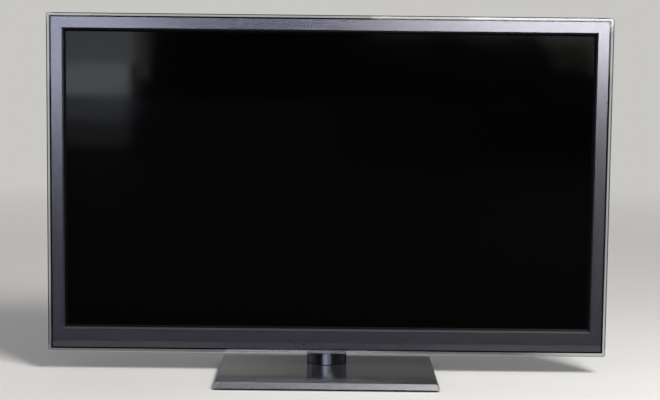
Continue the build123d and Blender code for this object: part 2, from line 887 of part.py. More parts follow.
# Data boards, low strips along the bottom of the chassis
data_part_height_share = 0.45
data_part_shares = ((0.1, 0.2, 0.55, 0.85), (0.8, 0.9, 0.55, 0.85))
with BuildPart() as data_boards:
    with BuildSketch(behind(data_board_back)):
        for edges in data_board_spans:
            span(*edges)
    extrude(amount=board_thickness)
    data_part_height = data_part_height_share * (border_back - cover_wall - data_board_back)
    with BuildSketch(behind(data_board_back + data_part_height)):
        for edges in data_board_spans:
            for shares in data_part_shares:
                board_block(edges, shares)
    extrude(amount=data_part_height)
data_boards.part.label = "data_boards"
export_step(data_boards.part, "parts/data_boards.step")

# Data ribbons, folded under the edge of the rear display plate and up to the data boards
ribbon_front = front_y + front_plate_back - ribbon_thickness
ribbon_back = front_y + data_board_back + ribbon_thickness
ribbon_low = display_low - seat_gap - ribbon_thickness
ribbon_high = display_low + display_step - seat_gap
with BuildPart() as data_ribbons:
    for left, right, low, high in data_board_spans:
        for share in ribbon_shares:
            middle = left + share * (right - left) if left > 0 else right - share * (right - left)
            with BuildSketch(Plane.YZ.offset(middle - ribbon_width / 2)):
                span(ribbon_front, ribbon_front + ribbon_thickness, ribbon_low, ribbon_high)
                span(ribbon_front, ribbon_back, ribbon_low, ribbon_low + ribbon_thickness)
                span(ribbon_back - ribbon_thickness, ribbon_back, ribbon_low, low + ribbon_lap)
            extrude(amount=ribbon_width)
data_ribbons.part.label = "data_ribbons"
export_step(data_ribbons.part, "parts/data_ribbons.step")

# Finned heat sinks on the power board and on the two drive boards
with BuildPart() as heat_sinks:
    sinks = (
        (power_board_edges, power_sink_shares),
        (scan_board_edges, sink_shares),
        (sustain_board_edges, sink_shares),
    )
    with BuildSketch(behind(board_back + sink_base)):
        for edges, shares in sinks:
            board_block(edges, shares)
    extrude(amount=sink_base)
    with BuildSketch(behind(board_back + middle_share * board_room)):
        for (left, right, low, high), shares in sinks:
            sink_left, sink_right = [left + share * (right - left) for share in shares[:2]]
            sink_low, sink_high = [low + share * (high - low) for share in shares[2:]]
            fin_pitch = (sink_right - sink_left - sink_fin_thickness) / (sink_fin_count - 1)
            with Locations(((sink_left + sink_right) / 2, (sink_low + sink_high) / 2)):
                with GridLocations(fin_pitch, 0, sink_fin_count, 1):
                    Rectangle(sink_fin_thickness, sink_high - sink_low)
    extrude(amount=middle_share * board_room - sink_base)
heat_sinks.part.label = "heat_sinks"
export_step(heat_sinks.part, "parts/heat_sinks.step")

# Right speaker box: a closed box with a long mouth for its driver
speaker_box_low = speaker_low + driver_flange
speaker_box_y = front_y + (speaker_front + speaker_back) / 2
speaker_box_depth = speaker_back - speaker_front
with BuildPart() as right_speaker_box:
    with BuildSketch(Plane.XY.offset(speaker_box_low)):
        with Locations((speaker_middle, speaker_box_y)):
            Rectangle(speaker_length, speaker_box_depth)
    extrude(amount=speaker_high - speaker_box_low)
    with BuildSketch(Plane.XY.offset(speaker_box_low + speaker_wall)):
        with Locations((speaker_middle, speaker_box_y)):
            Rectangle(speaker_length - 2 * speaker_wall, speaker_box_depth - 2 * speaker_wall)
    extrude(amount=speaker_high - speaker_box_low - 2 * speaker_wall, mode=Mode.SUBTRACT)
    with BuildSketch(Plane.XY.offset(speaker_box_low - overrun)):
        with Locations((speaker_middle, speaker_y)):
            mouth_inset = driver_lip - seat_gap
            SlotOverall(driver_length - 2 * mouth_inset, driver_width - 2 * mouth_inset)
    extrude(amount=speaker_wall + 2 * overrun, mode=Mode.SUBTRACT)
right_speaker_box.part.label = "right_speaker_box"
export_step(right_speaker_box.part, "parts/right_speaker_box.step")

with BuildPart() as left_speaker_box:
    mirror(right_speaker_box.part, about=Plane.YZ)
left_speaker_box.part.label = "left_speaker_box"
export_step(left_speaker_box.part, "parts/left_speaker_box.step")

# Right speaker driver: a long narrow cone that faces down
with BuildPart() as right_speaker_driver:
    with BuildSketch(Plane.XY.offset(speaker_low)):
        with Locations((speaker_middle, speaker_y)):
            SlotOverall(driver_length, driver_width)
    extrude(amount=driver_flange)
    with BuildSketch(Plane.XY.offset(speaker_box_low)):
        with Locations((speaker_middle, speaker_y)):
            SlotOverall(driver_length - 2 * driver_lip, driver_width - 2 * driver_lip)
    extrude(amount=driver_depth)
    with BuildSketch(Plane.XY.offset(speaker_low)):
        with Locations((speaker_middle, speaker_y)):
            SlotOverall(driver_length - 2 * driver_lip, driver_width - 2 * driver_lip)
    extrude(amount=driver_dish, mode=Mode.SUBTRACT)
right_speaker_driver.part.label = "right_speaker_driver"
export_step(right_speaker_driver.part, "parts/right_speaker_driver.step")

with BuildPart() as left_speaker_driver:
    mirror(right_speaker_driver.part, about=Plane.YZ)
left_speaker_driver.part.label = "left_speaker_driver"
export_step(left_speaker_driver.part, "parts/left_speaker_driver.step")

# Sensor window: one clear moulding whose three studs end flush in the lower strip
window_back = shoulder_back + seat_gap
stud_front = strip_fall * (strip_height - riser_inset - sensor_radii[0]) / strip_height
with BuildPart() as sensor_window:
    with BuildSketch(behind(window_back)):
        span(sensor_left, sensor_right, sensor_block_low, sensor_block_high)
    extrude(amount=window_back - bezel_thickness)
    with BuildSketch(behind(bezel_thickness)):
        for spot, radius in zip(sensor_spots, sensor_radii):
            with Locations(spot):
                Circle(radius)
    extrude(amount=bezel_thickness - stud_front)
sensor_window.part.label = "sensor_window"
export_step(sensor_window.part, "parts/sensor_window.step")

# Sensor board
sensor_board_back = window_back + sensor_board_thickness
sensor_board_low = speaker_low + seat_gap
with BuildPart() as sensor_board:
    with BuildSketch(behind(sensor_board_back)):
        span(
            sensor_left - sensor_board_margin,
            sensor_right + sensor_board_margin,
            sensor_board_low,
            sensor_board_low + sensor_board_height,
        )
    extrude(amount=sensor_board_thickness)
    with BuildSketch(behind(sensor_board_back + sensor_part_depth)):
        with Locations(*sensor_spots):
            Rectangle(sensor_part_size, sensor_part_size)
    extrude(amount=sensor_part_depth)
sensor_board.part.label = "sensor_board"
export_step(sensor_board.part, "parts/sensor_board.step")

# Notches of the rear cover, each as its left, right, low and high edge
neck_seat_low = cabinet_low - seat_drop
foot_low = neck_seat_low + seat_rise
bracket_high = foot_low + bracket_height
stand_notch_half = bracket_width / 2 + bracket_notch_side
stand_notch_high = bracket_high + bracket_notch_top
socket_y = front_y + border_back + socket_lift + network_height / 2
network_x = side_board_x + network_offset
aerial_x = network_x + aerial_step
av_xs = [aerial_x + av_step + index * av_pitch for index in range(av_count)]
socket_notch_left = network_x - av_step
socket_notch_right = av_xs[-1] + av_step
cover_notches = (
    (-stand_notch_half, stand_notch_half, bulge_low - overrun, stand_notch_high),
    (socket_notch_left, socket_notch_right, bulge_low - overrun, socket_wall_z),
    (inlet_x - inlet_notch_half, inlet_x + inlet_notch_half, bulge_low - overrun, socket_wall_z),
    (side_wall_x, bulge_half + overrun, side_notch_low, side_notch_high),
)
wall_spread = sqrt(bulge_slope**2 + (cover_back - border_back) ** 2) / (cover_back - border_back)
bead_half = bead_width_share * bulge_half


def cover_form(wall, front):
    """The solid form of the rear cover, inset by the sheet's thickness and starting at this depth."""
    with BuildPart() as form:
        with BuildSketch(behind(border_back - wall)):
            around_bezel(frame_proud - wall, bezel_corner + frame_proud - wall)
        extrude(amount=border_back - wall - front)
        for depth in (border_back - wall - overrun, cover_back - wall):
            inset = bulge_slope * (depth - border_back) / (cover_back - border_back) + wall * wall_spread
            width = 2 * (bulge_half - inset)
            height = bulge_rise - 2 * inset
            with BuildSketch(behind(depth)):
                with Locations((0, bulge_low + bulge_rise / 2)):
                    RectangleRounded(width, height, bulge_corner - wall)
        loft(ruled=True)
        with BuildSketch(behind(cover_back + overrun)):
            for left, right, low, high in cover_notches:
                span(left - wall, right + wall, low - wall, high + wall)
        extrude(amount=cover_back + overrun - border_back + wall, mode=Mode.SUBTRACT)
        with BuildSketch(behind(cover_back + overrun)):
            for share in bead_up_shares:
                bead_z = opening_low + share * opening_height
                bead_reach = bead_height / 2 + wall
                span(-bead_half - wall, bead_half + wall, bead_z - bead_reach, bead_z + bead_reach)
        extrude(amount=bead_depth + overrun + wall, mode=Mode.SUBTRACT)
    return form.part


# Rear cover
outer_form = cover_form(0, frame_back)
inner_form = cover_form(cover_wall, frame_back - overrun)
bracket_screw_z = bracket_high - bracket_screw_edge - bracket_screw_rise / 2
socket_window_reach = network_height / 2 + socket_window_margin
with BuildPart() as rear_cover:
    add(outer_form)
    add(inner_form, mode=Mode.SUBTRACT)
    with BuildSketch(behind(border_back + overrun)):
        with Locations(*cover_spots):
            RegularPolygon(screw_radius + screw_hole_gap, screw_sides)
        with Locations((0, bracket_screw_z)):
            with GridLocations(bracket_screw_spacing, bracket_screw_rise, 2, 2):
                Circle(bracket_screw_radius + screw_hole_gap)
    extrude(amount=cover_wall + 2 * overrun, mode=Mode.SUBTRACT)
    with BuildSketch(behind(cover_back + overrun)):
        with Locations((0, opening_mid)):
            with GridLocations(wall_mount_pitch, wall_mount_pitch, 2, 2):
                Circle(bush_radius + screw_hole_gap)
        for share, count in zip(vent_row_shares, vent_row_counts):
            with Locations((0, opening_low + share * opening_height)):
                with GridLocations(vent_pitch, 0, count, 1):
                    Rectangle(vent_width, vent_height)
    extrude(amount=cover_wall + 2 * overrun, mode=Mode.SUBTRACT)
    with BuildSketch(Plane.XY.offset(socket_wall_z - overrun)):
        span(
            socket_notch_left + notch_margin,
            socket_notch_right - notch_margin,
            socket_y - socket_window_reach,
            socket_y + socket_window_reach,
        )
    extrude(amount=cover_wall + 2 * overrun, mode=Mode.SUBTRACT)
    inlet_y = front_y + border_back + inlet_centre_share * (cover_back - border_back)
    with BuildSketch(Plane.XY.offset(socket_wall_z - overrun)):
        with Locations((inlet_x, inlet_y)):
            Rectangle(inlet_width + 2 * seat_gap, inlet_height + 2 * seat_gap)
    extrude(amount=cover_wall + 2 * overrun, mode=Mode.SUBTRACT)
    with BuildSketch(Plane.YZ.offset(side_wall_x - cover_wall - overrun)):
        span(
            socket_y - socket_window_reach,
            socket_y + socket_window_reach,
            side_notch_low + notch_margin,
            side_notch_high - notch_margin,
        )
    extrude(amount=cover_wall + 2 * overrun, mode=Mode.SUBTRACT)
rear_cover.part.label = "rear_cover"
export_step(rear_cover.part, "parts/rear_cover.step")

# Cover screws: a round head on a six-sided shank that stands for the thread
screw_length = border_back - shoulder_back - tip_clearance
with BuildPart() as cover_screws:
    with BuildSketch(behind(border_back + screw_head_height)):
        with Locations(*cover_spots):
            Circle(screw_head_radius)
    extrude(amount=screw_head_height)
    with BuildSketch(behind(border_back)):
        with Locations(*cover_spots):
            RegularPolygon(screw_radius, screw_sides)
    extrude(amount=screw_length)
cover_screws.part.label = "cover_screws"
export_step(cover_screws.part, "parts/cover_screws.step")

# Sockets that face sideways stand in one column, those that face down in one row
plate_inner_x = side_wall_x - cover_wall - plate_thickness
mouth_x = side_wall_x - cover_wall + socket_proud
plate_inner_z = socket_wall_z + cover_wall + plate_thickness
mouth_z = socket_wall_z + cover_wall - socket_proud
board_y = front_y + board_back


def side_sockets(heights, width, height, corner):
    """Sockets on the main board that face sideways through the terminal plate, with a tongue in each."""
    spots = [(socket_y, spot_z) for spot_z in heights]
    tongue = (height * tongue_height_share, width * tongue_width_share)
    with BuildPart() as sockets:
        with BuildSketch(Plane.YZ.offset(plate_inner_x - socket_length)):
            for spot_z in heights:
                span(board_y, socket_y + height / 2, spot_z - width / 2, spot_z + width / 2)
        extrude(amount=socket_length)
        with BuildSketch(Plane.YZ.offset(plate_inner_x)):
            with Locations(*spots):
                Rectangle(height, width)
            if corner:
                chamfer(vertices().group_by(Axis.X)[0], corner)
        extrude(amount=mouth_x - plate_inner_x)
        with BuildSketch(Plane.YZ.offset(mouth_x)):
            with Locations(*spots):
                Rectangle(height - 2 * shell_wall, width - 2 * shell_wall)
            if corner:
                chamfer(vertices().group_by(Axis.X)[0], corner)
        extrude(amount=-socket_length, mode=Mode.SUBTRACT)
        with BuildSketch(Plane.YZ.offset(mouth_x - socket_length)):
            with Locations(*spots):
                Rectangle(*tongue)
        extrude(amount=socket_length - tongue_setback)
    return sockets.part


# Picture and sound sockets in the side
with BuildPart() as video_sockets:
    add(side_sockets(video_heights, video_socket_width, video_socket_height, video_socket_corner))
video_sockets.part.label = "video_sockets"
export_step(video_sockets.part, "parts/video_sockets.step")

# Data sockets in the side
with BuildPart() as data_sockets:
    add(side_sockets(data_heights, data_socket_width, data_socket_height, 0))
data_sockets.part.label = "data_sockets"
export_step(data_sockets.part, "parts/data_sockets.step")

# Card slot: a flat shell with nothing in its mouth
with BuildPart() as card_slot:
    with BuildSketch(Plane.YZ.offset(plate_inner_x - socket_length)):
        span(
            board_y,
            socket_y + card_slot_height / 2,
            card_z - card_slot_width / 2,
            card_z + card_slot_width / 2,
        )
    extrude(amount=socket_length)
    with BuildSketch(Plane.YZ.offset(plate_inner_x)):
        with Locations((socket_y, card_z)):
            Rectangle(card_slot_height, card_slot_width)
    extrude(amount=mouth_x - plate_inner_x)
    with BuildSketch(Plane.YZ.offset(mouth_x)):
        with Locations((socket_y, card_z)):
            Rectangle(card_slot_height - 2 * shell_wall, card_slot_width - 2 * shell_wall)
    extrude(amount=-socket_length, mode=Mode.SUBTRACT)
card_slot.part.label = "card_slot"
export_step(card_slot.part, "parts/card_slot.step")

# Network socket
with BuildPart() as network_socket:
    with BuildSketch(Plane.XY.offset(plate_inner_z)):
        span(
            network_x - network_width / 2,
            network_x + network_width / 2,
            board_y,
            socket_y + network_height / 2,
        )
    extrude(amount=socket_length)
    with BuildSketch(Plane.XY.offset(mouth_z)):
        with Locations((network_x, socket_y)):
            Rectangle(network_width, network_height)
    extrude(amount=plate_inner_z - mouth_z)
    with BuildSketch(Plane.XY.offset(mouth_z)):
        with Locations((network_x, socket_y)):
            Rectangle(network_width - 2 * shell_wall, network_height - 2 * shell_wall)
    extrude(amount=socket_length, mode=Mode.SUBTRACT)
network_socket.part.label = "network_socket"
export_step(network_socket.part, "parts/network_socket.step")

# Aerial socket: a threaded barrel on a small block
with BuildPart() as aerial_socket:
    with BuildSketch(Plane.XY.offset(plate_inner_z)):
        span(
            aerial_x - aerial_block / 2,
            aerial_x + aerial_block / 2,
            board_y,
            socket_y + aerial_block / 2,
        )
    extrude(amount=socket_length)
    with BuildSketch(Plane.XY.offset(mouth_z - barrel_length)):
        with Locations((aerial_x, socket_y)):
            Circle(aerial_radius)
    extrude(amount=plate_inner_z - mouth_z + barrel_length)
    with BuildSketch(Plane.XY.offset(mouth_z - barrel_length)):
        with Locations((aerial_x, socket_y)):
            Circle(aerial_bore_radius)
    extrude(amount=barrel_bore_depth, mode=Mode.SUBTRACT)
aerial_socket.part.label = "aerial_socket"
export_step(aerial_socket.part, "parts/aerial_socket.step")

# Audio and video sockets: a row of round barrels on one block
with BuildPart() as av_sockets:
    with BuildSketch(Plane.XY.offset(plate_inner_z)):
        span(av_xs[0] - av_pitch / 2, av_xs[-1] + av_pitch / 2, board_y, socket_y + aerial_block / 2)
    extrude(amount=socket_length)
    with BuildSketch(Plane.XY.offset(mouth_z - barrel_length)):
        for av_x in av_xs:
            with Locations((av_x, socket_y)):
                Circle(av_radius)
    extrude(amount=plate_inner_z - mouth_z + barrel_length)
    with BuildSketch(Plane.XY.offset(mouth_z - barrel_length)):
        for av_x in av_xs:
            with Locations((av_x, socket_y)):
                Circle(av_bore_radius)
    extrude(amount=barrel_bore_depth, mode=Mode.SUBTRACT)
av_sockets.part.label = "av_sockets"
export_step(av_sockets.part, "parts/av_sockets.step")

# Terminal plates behind the openings in the cover's side and bottom notches
plate_front = front_y + border_back - cover_wall + seat_gap
plate_rear = front_y + cover_back - cover_wall - seat_gap
side_mouths = [(spot_z, video_socket_height, video_socket_width) for spot_z in video_heights]
side_mouths += [(spot_z, data_socket_height, data_socket_width) for spot_z in data_heights]
side_mouths.append((card_z, card_slot_height, card_slot_width))
with BuildPart() as terminal_plates:
    with BuildSketch(Plane.YZ.offset(plate_inner_x)):
        span(plate_front, plate_rear, side_notch_low - plate_lap, side_notch_high + plate_lap)
        for spot_z, height, width in side_mouths:
            with Locations((socket_y, spot_z)):
                Rectangle(height + 2 * seat_gap, width + 2 * seat_gap, mode=Mode.SUBTRACT)
    extrude(amount=plate_thickness)
    with BuildSketch(Plane.XY.offset(plate_inner_z - plate_thickness)):
        span(socket_notch_left - plate_lap, socket_notch_right + plate_lap, plate_front, plate_rear)
        with Locations((network_x, socket_y)):
            Rectangle(network_width + 2 * seat_gap, network_height + 2 * seat_gap, mode=Mode.SUBTRACT)
        with Locations((aerial_x, socket_y)):
            Circle(aerial_radius + seat_gap, mode=Mode.SUBTRACT)
        for av_x in av_xs:
            with Locations((av_x, socket_y)):
                Circle(av_radius + seat_gap, mode=Mode.SUBTRACT)
    extrude(amount=plate_thickness)
terminal_plates.part.label = "terminal_plates"
export_step(terminal_plates.part, "parts/terminal_plates.step")

# Power inlet: a recess that faces down, with three flat pins set back in it
inlet_pins = (
    (inlet_x - inlet_pin_offset, inlet_y - inlet_pin_rise / 2),
    (inlet_x + inlet_pin_offset, inlet_y - inlet_pin_rise / 2),
    (inlet_x, inlet_y + inlet_pin_rise / 2),
)
with BuildPart() as power_inlet:
    with BuildSketch(Plane.XY.offset(socket_wall_z - inlet_flange_thickness)):
        with Locations((inlet_x, inlet_y)):
            Rectangle(inlet_width + 2 * inlet_flange, inlet_height + 2 * inlet_flange)
    extrude(amount=inlet_flange_thickness)
    with BuildSketch(Plane.XY.offset(socket_wall_z)):
        with Locations((inlet_x, inlet_y)):
            Rectangle(inlet_width, inlet_height)
    extrude(amount=inlet_length)
    with BuildSketch(Plane.XY.offset(socket_wall_z - inlet_flange_thickness)):
        with Locations((inlet_x, inlet_y)):
            Rectangle(inlet_width - 2 * inlet_rim, inlet_height - 2 * inlet_rim)
        chamfer(vertices().group_by(Axis.Y)[-1], inlet_corner)
    extrude(amount=inlet_length + inlet_flange_thickness - inlet_floor, mode=Mode.SUBTRACT)
    with BuildSketch(Plane.XY.offset(socket_wall_z - inlet_flange_thickness + inlet_pin_setback)):
        with Locations(*inlet_pins):
            Rectangle(inlet_pin_width, inlet_pin_depth)
    extrude(amount=inlet_length + inlet_flange_thickness - inlet_floor - inlet_pin_setback)
power_inlet.part.label = "power_inlet"
export_step(power_inlet.part, "parts/power_inlet.step")

# Stand holder: a channel behind the cover that takes the bracket's screws
holder_low = data_low + holder_low_rise
holder_high = bracket_high
with BuildPart() as stand_holder:
    with BuildSketch(behind(border_back - cover_wall)):
        span(-holder_half, holder_half, holder_low, holder_high)
    extrude(amount=border_back - cover_wall - chassis_back)
    with BuildSketch(behind(border_back - cover_wall - holder_wall)):
        inner_half = holder_half - holder_wall
        span(-inner_half, inner_half, holder_low - overrun, holder_high + overrun)
    extrude(amount=border_back - cover_wall - holder_wall - chassis_back, mode=Mode.SUBTRACT)
    with BuildSketch(behind(border_back)):
        with Locations((0, bracket_screw_z)):
            with GridLocations(bracket_screw_spacing, bracket_screw_rise, 2, 2):
                Circle(bracket_screw_radius + press_gap)
    extrude(amount=border_back - chassis_back, mode=Mode.SUBTRACT)
stand_holder.part.label = "stand_holder"
export_step(stand_holder.part, "parts/stand_holder.step")

# Neck bracket: an upright plate, a foot with a straight front edge and two gussets between them
neck_foot_radius = neck_radius - foot_radius_inset
foot_high = foot_low + bracket_thickness
bracket_back = border_back + bracket_thickness
with BuildPart() as neck_bracket:
    with BuildSketch(behind(bracket_back)):
        span(-bracket_width / 2, bracket_width / 2, foot_low, bracket_high)
        fillet(vertices().group_by(Axis.Y)[-1], bracket_corner)
        with Locations((0, bracket_screw_z)):
            with GridLocations(bracket_screw_spacing, bracket_screw_rise, 2, 2):
                Circle(bracket_screw_radius + seat_gap, mode=Mode.SUBTRACT)
    extrude(amount=bracket_thickness)
    with BuildSketch(Plane.XY.offset(foot_low)):
        with Locations((0, neck_y)):
            Circle(neck_foot_radius)
        span(-neck_diameter, neck_diameter, front_y, front_y + border_back, Mode.SUBTRACT)
    extrude(amount=bracket_thickness)
    for side in (-1, 1):
        gusset_middle = side * gusset_spacing / 2
        with BuildSketch(Plane.YZ.offset(gusset_middle - gusset_thickness / 2)):
            with BuildLine():
                Polyline(
                    (front_y + bracket_back, foot_high),
                    (front_y + bracket_back + gusset_reach, foot_high),
                    (front_y + bracket_back, foot_high + gusset_height),
                    close=True,
                )
            make_face()
        extrude(amount=gusset_thickness)
    with BuildSketch(Plane.XY.offset(foot_low - overrun)):
        for angle in foot_bolt_angles:
            with Locations((0, neck_y)):
                with PolarLocations(foot_bolt_circle, 1, angle):
                    Circle(foot_bolt_radius + seat_gap)
    extrude(amount=bracket_thickness + 2 * overrun, mode=Mode.SUBTRACT)
neck_bracket.part.label = "neck_bracket"
export_step(neck_bracket.part, "parts/neck_bracket.step")

# Bracket screws
with BuildPart() as bracket_screws:
    with BuildSketch(behind(bracket_back + bracket_head_height)):
        with Locations((0, bracket_screw_z)):
            with GridLocations(bracket_screw_spacing, bracket_screw_rise, 2, 2):
                Circle(bracket_head_radius)
                RegularPolygon(bracket_screw_radius, 6, mode=Mode.SUBTRACT)
    extrude(amount=bracket_head_height)
    with BuildSketch(behind(bracket_back + overrun)):
        with Locations((0, bracket_screw_z)):
            with GridLocations(bracket_screw_spacing, bracket_screw_rise, 2, 2):
                Circle(bracket_head_radius)
    extrude(amount=overrun)
    with BuildSketch(behind(bracket_back)):
        with Locations((0, bracket_screw_z)):
            with GridLocations(bracket_screw_spacing, bracket_screw_rise, 2, 2):
                Circle(bracket_screw_radius)
    extrude(amount=bracket_thickness + cover_wall + holder_wall + overrun)
bracket_screws.part.label = "bracket_screws"
export_step(bracket_screws.part, "parts/bracket_screws.step")

# Foot bolts, from the bracket's foot into the pole
foot_bolt_length = foot_high - neck_seat_low
with BuildPart() as foot_bolts:
    with BuildSketch(Plane.XY.offset(foot_high)):
        for angle in foot_bolt_angles:
            with Locations((0, neck_y)):
                with PolarLocations(foot_bolt_circle, 1, angle):
                    Circle(bracket_head_radius)
    extrude(amount=bracket_head_height)
    with BuildSketch(Plane.XY.offset(neck_seat_low)):
        for angle in foot_bolt_angles:
            with Locations((0, neck_y)):
                with PolarLocations(foot_bolt_circle, 1, angle):
                    Circle(foot_bolt_radius)
    extrude(amount=foot_bolt_length)
    with BuildSketch(Plane.XY.offset(foot_high + overrun)):
        for angle in foot_bolt_angles:
            with Locations((0, neck_y)):
                with PolarLocations(foot_bolt_circle, 1, angle):
                    RegularPolygon(foot_bolt_radius, 6)
    extrude(amount=bracket_head_height, mode=Mode.SUBTRACT)
foot_bolts.part.label = "foot_bolts"
export_step(foot_bolts.part, "parts/foot_bolts.step")

# Heights in the swivel, from the table up
weight_back = foot_thickness + weight_thickness
flange_high = base_height - flange_drop
thrust_high = flange_high + thrust_thickness
pole_low = thrust_high + running_gap
pole_flange_high = pole_low + pole_flange_thickness
shaft_high = pole_low + bush_length
bush_high = shaft_high - running_gap
thread_high = shaft_high + thread_length
bush_outer = spindle_radius + bush_wall
bore_radius = bush_outer + press_gap

# Neck pole: a flange with the stop slot, a column and a seat for the bracket's foot
stop_arc = CenterArc((0, 0), stop_pin_circle, 90 - swivel_angle, 2 * swivel_angle)
slot_width = 2 * (stop_pin_radius + stop_gap)
pole_flange_radius = neck_radius - sleeve_wall - seat_gap
with BuildPart() as neck_pole:
    with BuildSketch(Plane.XY.offset(pole_low)):
        with Locations((0, neck_y)):
            Circle(pole_flange_radius)
    extrude(amount=pole_flange_thickness)
    with BuildSketch(Plane.XY.offset(pole_flange_high)):
        with Locations((0, neck_y)):
            Circle(pole_radius)
    extrude(amount=neck_seat_low - pole_flange_high)
    with BuildSketch(Plane.XY.offset(neck_seat_low)):
        with Locations((0, neck_y)):
            Circle(neck_foot_radius)
        span(-neck_diameter, neck_diameter, front_y, front_y + border_back + seat_gap, Mode.SUBTRACT)
    extrude(amount=foot_low - neck_seat_low)
    with BuildSketch(Plane.XY.offset(pole_low - overrun)):
        with Locations((0, neck_y)):
            Circle(bore_radius)
    extrude(amount=foot_low - pole_low + 2 * overrun, mode=Mode.SUBTRACT)
    with BuildSketch(Plane.XY.offset(shaft_high - running_gap / 2)):
        with Locations((0, neck_y)):
            Circle(cavity_radius)
    extrude(amount=foot_low - shaft_high + overrun, mode=Mode.SUBTRACT)
    with BuildSketch(Plane.XY.offset(pole_low)):
        with Locations((0, neck_y)):
            SlotArc(stop_arc, slot_width)
    extrude(amount=stop_slot_depth, mode=Mode.SUBTRACT)
    with BuildSketch(Plane.XY.offset(neck_seat_low - overrun)):
        for angle in foot_bolt_angles:
            with Locations((0, neck_y)):
                with PolarLocations(foot_bolt_circle, 1, angle):
                    Circle(foot_bolt_radius + press_gap)
    extrude(amount=foot_low - neck_seat_low + 2 * overrun, mode=Mode.SUBTRACT)
neck_pole.part.label = "neck_pole"
export_step(neck_pole.part, "parts/neck_pole.step")

# Neck sleeve
sleeve_low = base_height + sleeve_gap
sleeve_high = cabinet_low - seat_gap
with BuildPart() as neck_sleeve:
    with BuildSketch(Plane.XY.offset(sleeve_low)):
        with Locations((0, neck_y)):
            Circle(neck_radius)
            Circle(neck_radius - sleeve_wall, mode=Mode.SUBTRACT)
    extrude(amount=sleeve_high - sleeve_low)
neck_sleeve.part.label = "neck_sleeve"
export_step(neck_sleeve.part, "parts/neck_sleeve.step")

# Neck cover: a lofted shell from the neck's round back up to a thin rounded edge on the bracket
cover_front_y = front_y + bracket_back + seat_gap
chord_offset = neck_y - cover_front_y
straight_high = cabinet_low + neck_cover_straight
neck_cover_high = cabinet_low + neck_cover_height
with BuildPart() as neck_cover:
    for wall, mode in ((0, Mode.ADD), (neck_cover_wall, Mode.SUBTRACT)):
        radius = neck_radius - wall
        start = cabinet_low - (overrun if wall else 0)
        round_half = sqrt(radius**2 - chord_offset**2)
        round_reach = radius + chord_offset
        with BuildSketch(Plane.XY.offset(start)):
            with BuildLine():
                ends = ((round_half, cover_front_y), (-round_half, cover_front_y))
                ThreePointArc(ends[0], (0, cover_front_y + round_reach), ends[1])
                Line(ends[1], ends[0])
            make_face()
        extrude(amount=straight_high - start, mode=mode)
        for height, half, reach in (
            (straight_high, round_half, round_reach),
            (neck_cover_high - wall, neck_cover_top_half - wall, neck_cover_top_depth - wall),
        ):
            with BuildSketch(Plane.XY.offset(height)):
                with BuildLine():
                    ThreePointArc((half, cover_front_y), (0, cover_front_y + reach), (-half, cover_front_y))
                    Line((-half, cover_front_y), (half, cover_front_y))
                make_face()
        loft(ruled=True, mode=mode)
neck_cover.part.label = "neck_cover"
export_step(neck_cover.part, "parts/neck_cover.step")

# Swivel bush
with BuildPart() as swivel_bush:
    with BuildSketch(Plane.XY.offset(pole_low)):
        with Locations((0, neck_y)):
            Circle(bush_outer)
            Circle(spindle_radius + bearing_gap, mode=Mode.SUBTRACT)
    extrude(amount=bush_high - pole_low)
swivel_bush.part.label = "swivel_bush"
export_step(swivel_bush.part, "parts/swivel_bush.step")

# Keys, each a cap in the side wall with a flange and a stem behind it
key_flange_x = side_face + frame_wall + seat_gap
key_stem_x = key_flange_x + key_flange
key_stem_end = key_stem_x + key_stem_length
for name, height in zip(key_names, key_heights):
    with BuildPart() as key:
        with BuildSketch(Plane.YZ.offset(side_face - key_proud)):
            with Locations((key_y, height)):
                if name == "power_key":
                    Circle(power_key_radius)
                else:
                    Rectangle(key_depth, key_height)
        extrude(amount=key_flange_x - side_face + key_proud)
        chamfer(key.faces().sort_by(Axis.X)[0].edges(), key_gap)
        with BuildSketch(Plane.YZ.offset(key_flange_x)):
            with Locations((key_y, height)):
                if name == "power_key":
                    Circle(power_key_radius + key_flange)
                else:
                    Rectangle(key_depth + 2 * key_flange, key_height + 2 * key_flange)
        extrude(amount=key_flange)
        with BuildSketch(Plane.YZ.offset(key_stem_x)):
            with Locations((key_y, height)):
                Circle(key_stem_radius)
        extrude(amount=key_stem_length)
    key.part.label = name
    export_step(key.part, f"parts/{name}.step")

# Key board with a switch behind each key
switch_x = key_stem_end + key_travel + seat_gap
key_board_x = switch_x + key_switch_depth
with BuildPart() as key_board:
    with BuildSketch(Plane.YZ.offset(key_board_x)):
        span(
            front_y + shoulder_back + seat_gap,
            key_y + key_board_height / 2,
            key_heights[0] - key_height,
            key_heights[-1] + key_height,
        )
    extrude(amount=key_board_thickness)
    with BuildSketch(Plane.YZ.offset(switch_x)):
        for height in key_heights:
            with Locations((key_y, height)):
                Rectangle(key_switch_size, key_switch_size)
    extrude(amount=key_switch_depth)
key_board.part.label = "key_board"
export_step(key_board.part, "parts/key_board.step")

# Places of the base's screws: two rows for the deck, and a ring for the spindle
deck_screw_spots = []
for column in deck_screw_column_shares:
    for side in (-1, 1):
        deck_screw_spots.append((column * deck_screw_pitch, side * deck_screw_rows / 2))
ring_step = spindle_screw_circle / sqrt(2)
spindle_screw_spots = [(x, neck_y + y) for x in (-ring_step, ring_step) for y in (-ring_step, ring_step)]
base_screw_spots = deck_screw_spots + spindle_screw_spots

